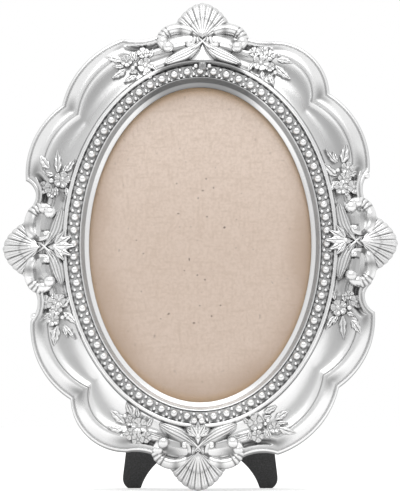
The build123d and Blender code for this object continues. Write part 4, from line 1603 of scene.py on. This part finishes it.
@dataclass
class BeadRing:
    """Ring of pearls with pairs of small beads, on a strip in the track.

    Args:
        moulding: Moulding with the track.
        count: Number of pearls.
        grow: Distance of the middle of the track outside the window.
        pearl: Radius of a pearl.
        seed: Radius of a small bead.
        spread: Distance of the small beads from the middle of the track.
        floor: Height of the strip.
        rise: Height of a bead's middle above the strip as a share of its radius.
    """

    moulding: Moulding
    count: int = 72
    grow: float = 8.5
    pearl: float = 2.15
    seed: float = 1.05
    spread: float = 1.55
    floor: float = 12.4
    rise: float = 0.35

    def build(self, material: Material) -> bpy.types.Object:
        """Makes the ring: balls at equal steps along the oval, found by summing its chords.

        Args:
            material: Material.

        Returns:
            The object.
        """
        half = np.array(self.moulding.sight) / 2 + self.grow
        turn = np.linspace(0, 2 * math.pi, 2881)
        chords = np.linalg.norm(np.diff(half * compass(turn), axis=0), axis=1)
        travel = np.concatenate([[0], np.cumsum(chords)])
        carving = Carving("bead_ring_surface")
        steps = np.arange(self.count) / self.count * travel[-1]
        between = steps + travel[-1] / self.count / 2
        for place, radius, offset in ((steps, self.pearl, 0.0), (between, self.seed, self.spread),
                                      (between, self.seed, -self.spread)):
            way = compass(np.interp(place, travel, turn))
            outward = way / half
            middle = half * way + outward / np.linalg.norm(outward, axis=1, keepdims=True) * offset
            for x, y in middle:
                carving.ball(np.array([x, y, self.floor + self.rise * radius]), radius, 11)
        return carving.build(material, 80.0)


@dataclass
class Face:
    """Whole silver face: moulding, bead ring and carved ornaments.

    Args:
        moulding: Moulding that carries the rest.
        shell_radius: Distance of the shells' hinges inside the outer line.
        side_shift: Place of the side shells above the middle.
        top_shift: Place of the top shell right of the middle.
        top_droop: Bend of the palmettes' leaves at the top and the bottom.
        buds: Bud at each side of the face.
        sprays: Name of a spray, name of the one half a turn round, and how they lie.
    """

    moulding: Moulding = field(default_factory=Moulding)
    shell_radius: float = 19.6
    side_shift: float = 1.6
    top_shift: float = 1.2
    top_droop: float = 3.0
    buds: tuple[tuple[str, Bud], ...] = (
        ("top", Bud.BLOCK), ("bottom", Bud.CROWN), ("right", Bud.STAR), ("left", Bud.STAR),
    )
    sprays: tuple[tuple[str, str, SprayLay], ...] = (
        ("flowers_right_upper", "flowers_left_lower", RIGHT_UPPER),
        ("flowers_top_right", "flowers_bottom_left", TOP_RIGHT),
        ("flowers_top_left", "flowers_bottom_right", TOP_LEFT),
        ("flowers_left_upper", "flowers_right_lower", LEFT_UPPER),
    )

    def seats(self) -> dict[str, Seat]:
        """Places of the four shells' hinges.

        Returns:
            Seat by side of the frame.
        """
        line = self.moulding.outline
        top = Seat((self.top_shift, line.half_height - self.shell_radius), 0.0)
        right = Seat((line.half_width - self.shell_radius, self.side_shift), -90.0)
        return {"top": top, "bottom": top.opposite(), "right": right, "left": right.opposite()}

    def ornaments(self) -> list[Ornament]:
        """Carved pieces of the face.

        Returns:
            The pieces, not built yet.
        """
        pieces, seats = [], self.seats()
        for side, bud in self.buds:
            seat = seats[side]
            droop = self.top_droop if side in ("top", "bottom") else 0.0
            pieces += [Shell(self.moulding, f"shell_{side}", seat),
                       Scrolls(self.moulding, f"scrolls_{side}", seat),
                       Palmette(self.moulding, f"palmette_{side}", seat, bud=bud, droop=droop)]
        middle = Seat((0.0, 0.0), 0.0)
        for name, opposite, lay in self.sprays:
            pieces += [Spray(self.moulding, node, seat, lay=lay)
                       for node, seat in ((name, middle), (opposite, middle.opposite()))]
        return pieces

    def build(self, materials: Materials) -> None:
        """Makes all pieces; each stands for the CAD node of its name.

        Args:
            materials: Materials of the frame.
        """
        silver = materials.by_slot[Slot.SILVER]
        install(self.moulding.build(silver), "frame_moulding")
        install(BeadRing(self.moulding).build(silver), "bead_ring")
        for ornament in self.ornaments():
            install(ornament.build(silver), ornament.name)


@dataclass
class OvalBoard:
    """Flat oval board in the rabbet, with eased edges.

    Args:
        node: CAD node that it stands for.
        size: Width and height.
        low: Height of its back above the back of the moulding.
        high: Height of its front.
        ease: Width of the eased edge.
        columns: Points round the oval.
    """

    node: str
    size: Point
    low: float
    high: float
    ease: float = 0.15
    columns: int = 180

    def build(self, material: Material) -> bpy.types.Object:
        """Makes the board: ovals that grow from the front middle to the edge and shrink to the back middle.

        Args:
            material: Material.

        Returns:
            The object.
        """
        half = np.array(self.size) / 2
        inner = [(half - self.ease) * share for share in np.linspace(0, 1, 9)[1:]]
        sizes = np.array([half * 0, *inner, half, half, *inner[::-1], half * 0])
        flat_rows = len(inner) + 1
        levels = np.array([self.high] * flat_rows + [self.high - self.ease, self.low + self.ease]
                          + [self.low] * flat_rows)
        flat = sizes[:, None, :] * compass(full_turn(self.columns))
        grid = np.concatenate([flat, np.broadcast_to(levels[:, None, None], (*flat.shape[:2], 1))], -1)
        carving = Carving(f"{self.node}_board")
        carving.add(grid, grid_faces(len(levels), self.columns, False, True), np.array(1.0))
        return carving.build(material)


@dataclass
class Boards:
    """Pane, boards, leg and hardware: CAD nodes with their materials, and smooth boards in the rabbet.

    Args:
        print_size: Width and height of the boards.
        levels: Height of the back and of the front of each board.
    """

    print_size: Point = (127.0, 178.0)
    levels: tuple[tuple[str, float, float], ...] = (
        ("glass_pane", 6.6, 8.45), ("photo_insert", 5.7, 6.5),
        ("filler_board", 3.0, 5.7), ("back_panel", 0.0, 3.0),
    )

    def dress(self, materials: Materials) -> None:
        """Gives every CAD node the material of its slot and makes the boards.

        Args:
            materials: Materials of the frame.
        """
        slots = {s["node"]: Slot(s["material_slot"]) for s in frame["record"]["subparts"]}
        for node, piece in frame["nodes"].items():
            piece.data.materials.clear()
            piece.data.materials.append(materials.by_slot[slots[node]])
            LOG.info("%s: %s", node, slots[node].value)
        for node, low, high in self.levels:
            board = OvalBoard(node, self.print_size, low, high)
            install(board.build(materials.by_slot[slots[node]]), node)


@dataclass
class Studio:
    """Pale floor, soft light and the camera.

    Args:
        distance: Distance of the camera in front of the frame.
        front: Distance of the frame's front before the origin.
        view_height: Height of the picture at the frame.
        eye: Height of the camera and of the picture's middle.
        shift: Place of the camera sideways.
        sensor: Width of the camera's sensor.
        far: Distance at which the view ends.
        floor_size: Side of the floor.
        floor_tone: Colour of the floor.
        floor_rough: Roughness of the floor.
        floor_glow: Glow of the floor in the picture and in mirrors.
        key_place: Place of the lamp.
        key_size: Side of its square.
        key_power: Its power in watts.
        ambient: Strength of the light from all round.
        front_dim: How much dimmer the backdrop is towards the camera, as metal and glass show it.
        front_span: Shares of the way forward between which it dims.
        high_span: Shares of the way up between which it dims.
    """

    distance: float = 6.0
    front: float = 0.02
    view_height: float = 0.2619
    eye: float = 0.1308
    shift: float = -0.00013
    sensor: float = 36.0
    far: float = 100.0
    floor_size: float = 4.0
    floor_tone: Colour = (0.9, 0.9, 0.9)
    floor_rough: float = 0.9
    floor_glow: float = 0.45
    key_place: tuple[float, float, float] = (0.0, -0.9, 1.6)
    key_size: float = 1.5
    key_power: float = 15.0
    ambient: float = 0.75
    front_dim: float = 0.25
    front_span: Span = (-0.2, -0.95)
    high_span: Span = (0.85, 0.25)

    @staticmethod
    def put(name: str, data: bpy.types.ID) -> bpy.types.Object:
        """Adds an object to the scene.

        Args:
            name: Name of the object.
            data: Its mesh, lamp or camera.

        Returns:
            The object.
        """
        thing = bpy.data.objects.new(name, data)
        bpy.context.scene.collection.objects.link(thing)
        return thing

    def floor(self) -> None:
        """Makes the floor."""
        half = self.floor_size / 2
        mesh = bpy.data.meshes.new("floor")
        corners = [(-half, -half, 0), (half, -half, 0), (half, half, 0), (-half, half, 0)]
        mesh.from_pydata(corners, [], [(0, 1, 2, 3)])
        material, nodes, shader = blank("floor")
        nodes.fill(shader, {
            "Base Color": self.floor_tone,
            "Roughness": self.floor_rough,
            "Emission Color": WHITE,
            "Emission Strength": nodes.math("MULTIPLY", nodes.seen(), self.floor_glow),
        })
        mesh.materials.append(material)
        self.put("floor", mesh)

    def world(self) -> None:
        """White background, dimmer towards the camera in metal and glass; softer light for the rest."""
        world = bpy.data.worlds.new("studio")
        bpy.context.scene.world = world
        world.use_nodes = True
        nodes = Nodes(world.node_tree)
        way = nodes.new("SeparateXYZ", {0: nodes.new("TexCoord", {}).outputs["Generated"]}).outputs
        ahead, low = nodes.ease(way["Y"], self.front_span), nodes.ease(way["Z"], self.high_span)
        dim = nodes.math("MULTIPLY", nodes.math("MULTIPLY", ahead, low), self.front_dim)
        unseen = nodes.math("SUBTRACT", 1.0, nodes.new("LightPath", {}).outputs["Is Camera Ray"])
        backdrop = nodes.math("SUBTRACT", 1.0, nodes.math("MULTIPLY", dim, unseen))
        level = nodes.ease(nodes.seen(), (0.0, 1.0), (self.ambient, 1.0))
        nodes.fill(world.node_tree.nodes["Background"], {
            "Color": WHITE, "Strength": nodes.math("MULTIPLY", backdrop, level)})

    def light(self) -> None:
        """Adds the soft lamp, which looks at the middle of the frame."""
        lamp = bpy.data.lights.new("key", "AREA")
        lamp.size, lamp.energy = self.key_size, self.key_power
        holder = self.put("key", lamp)
        holder.location = self.key_place
        x, y, z = np.array(self.key_place) - (0.0, 0.0, self.eye)
        holder.rotation_euler = (math.atan2(math.hypot(x, y), z), 0.0, math.atan2(x, -y))

    def camera(self) -> None:
        """Adds the level camera with a long lens in front of the frame."""
        data = bpy.data.cameras.new("camera")
        data.sensor_width = self.sensor
        data.lens = self.sensor * self.distance / self.view_height
        data.clip_end = self.far
        camera = self.put("camera", data)
        camera.location = (self.shift, -self.distance - self.front, self.eye)
        camera.rotation_euler = (math.pi / 2, 0.0, 0.0)
        bpy.context.scene.camera = camera

    def build(self) -> None:
        """Makes floor, light and camera."""
        self.floor()
        self.world()
        self.light()
        self.camera()
        bpy.context.scene.view_settings.view_transform = "Standard"


def main() -> None:
    """Builds the looks round the CAD frame."""
    logging.basicConfig(level=logging.INFO)
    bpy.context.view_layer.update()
    materials = Materials()
    Boards().dress(materials)
    Face().build(materials)
    Studio().build()


if __name__ == "__main__":
    main()
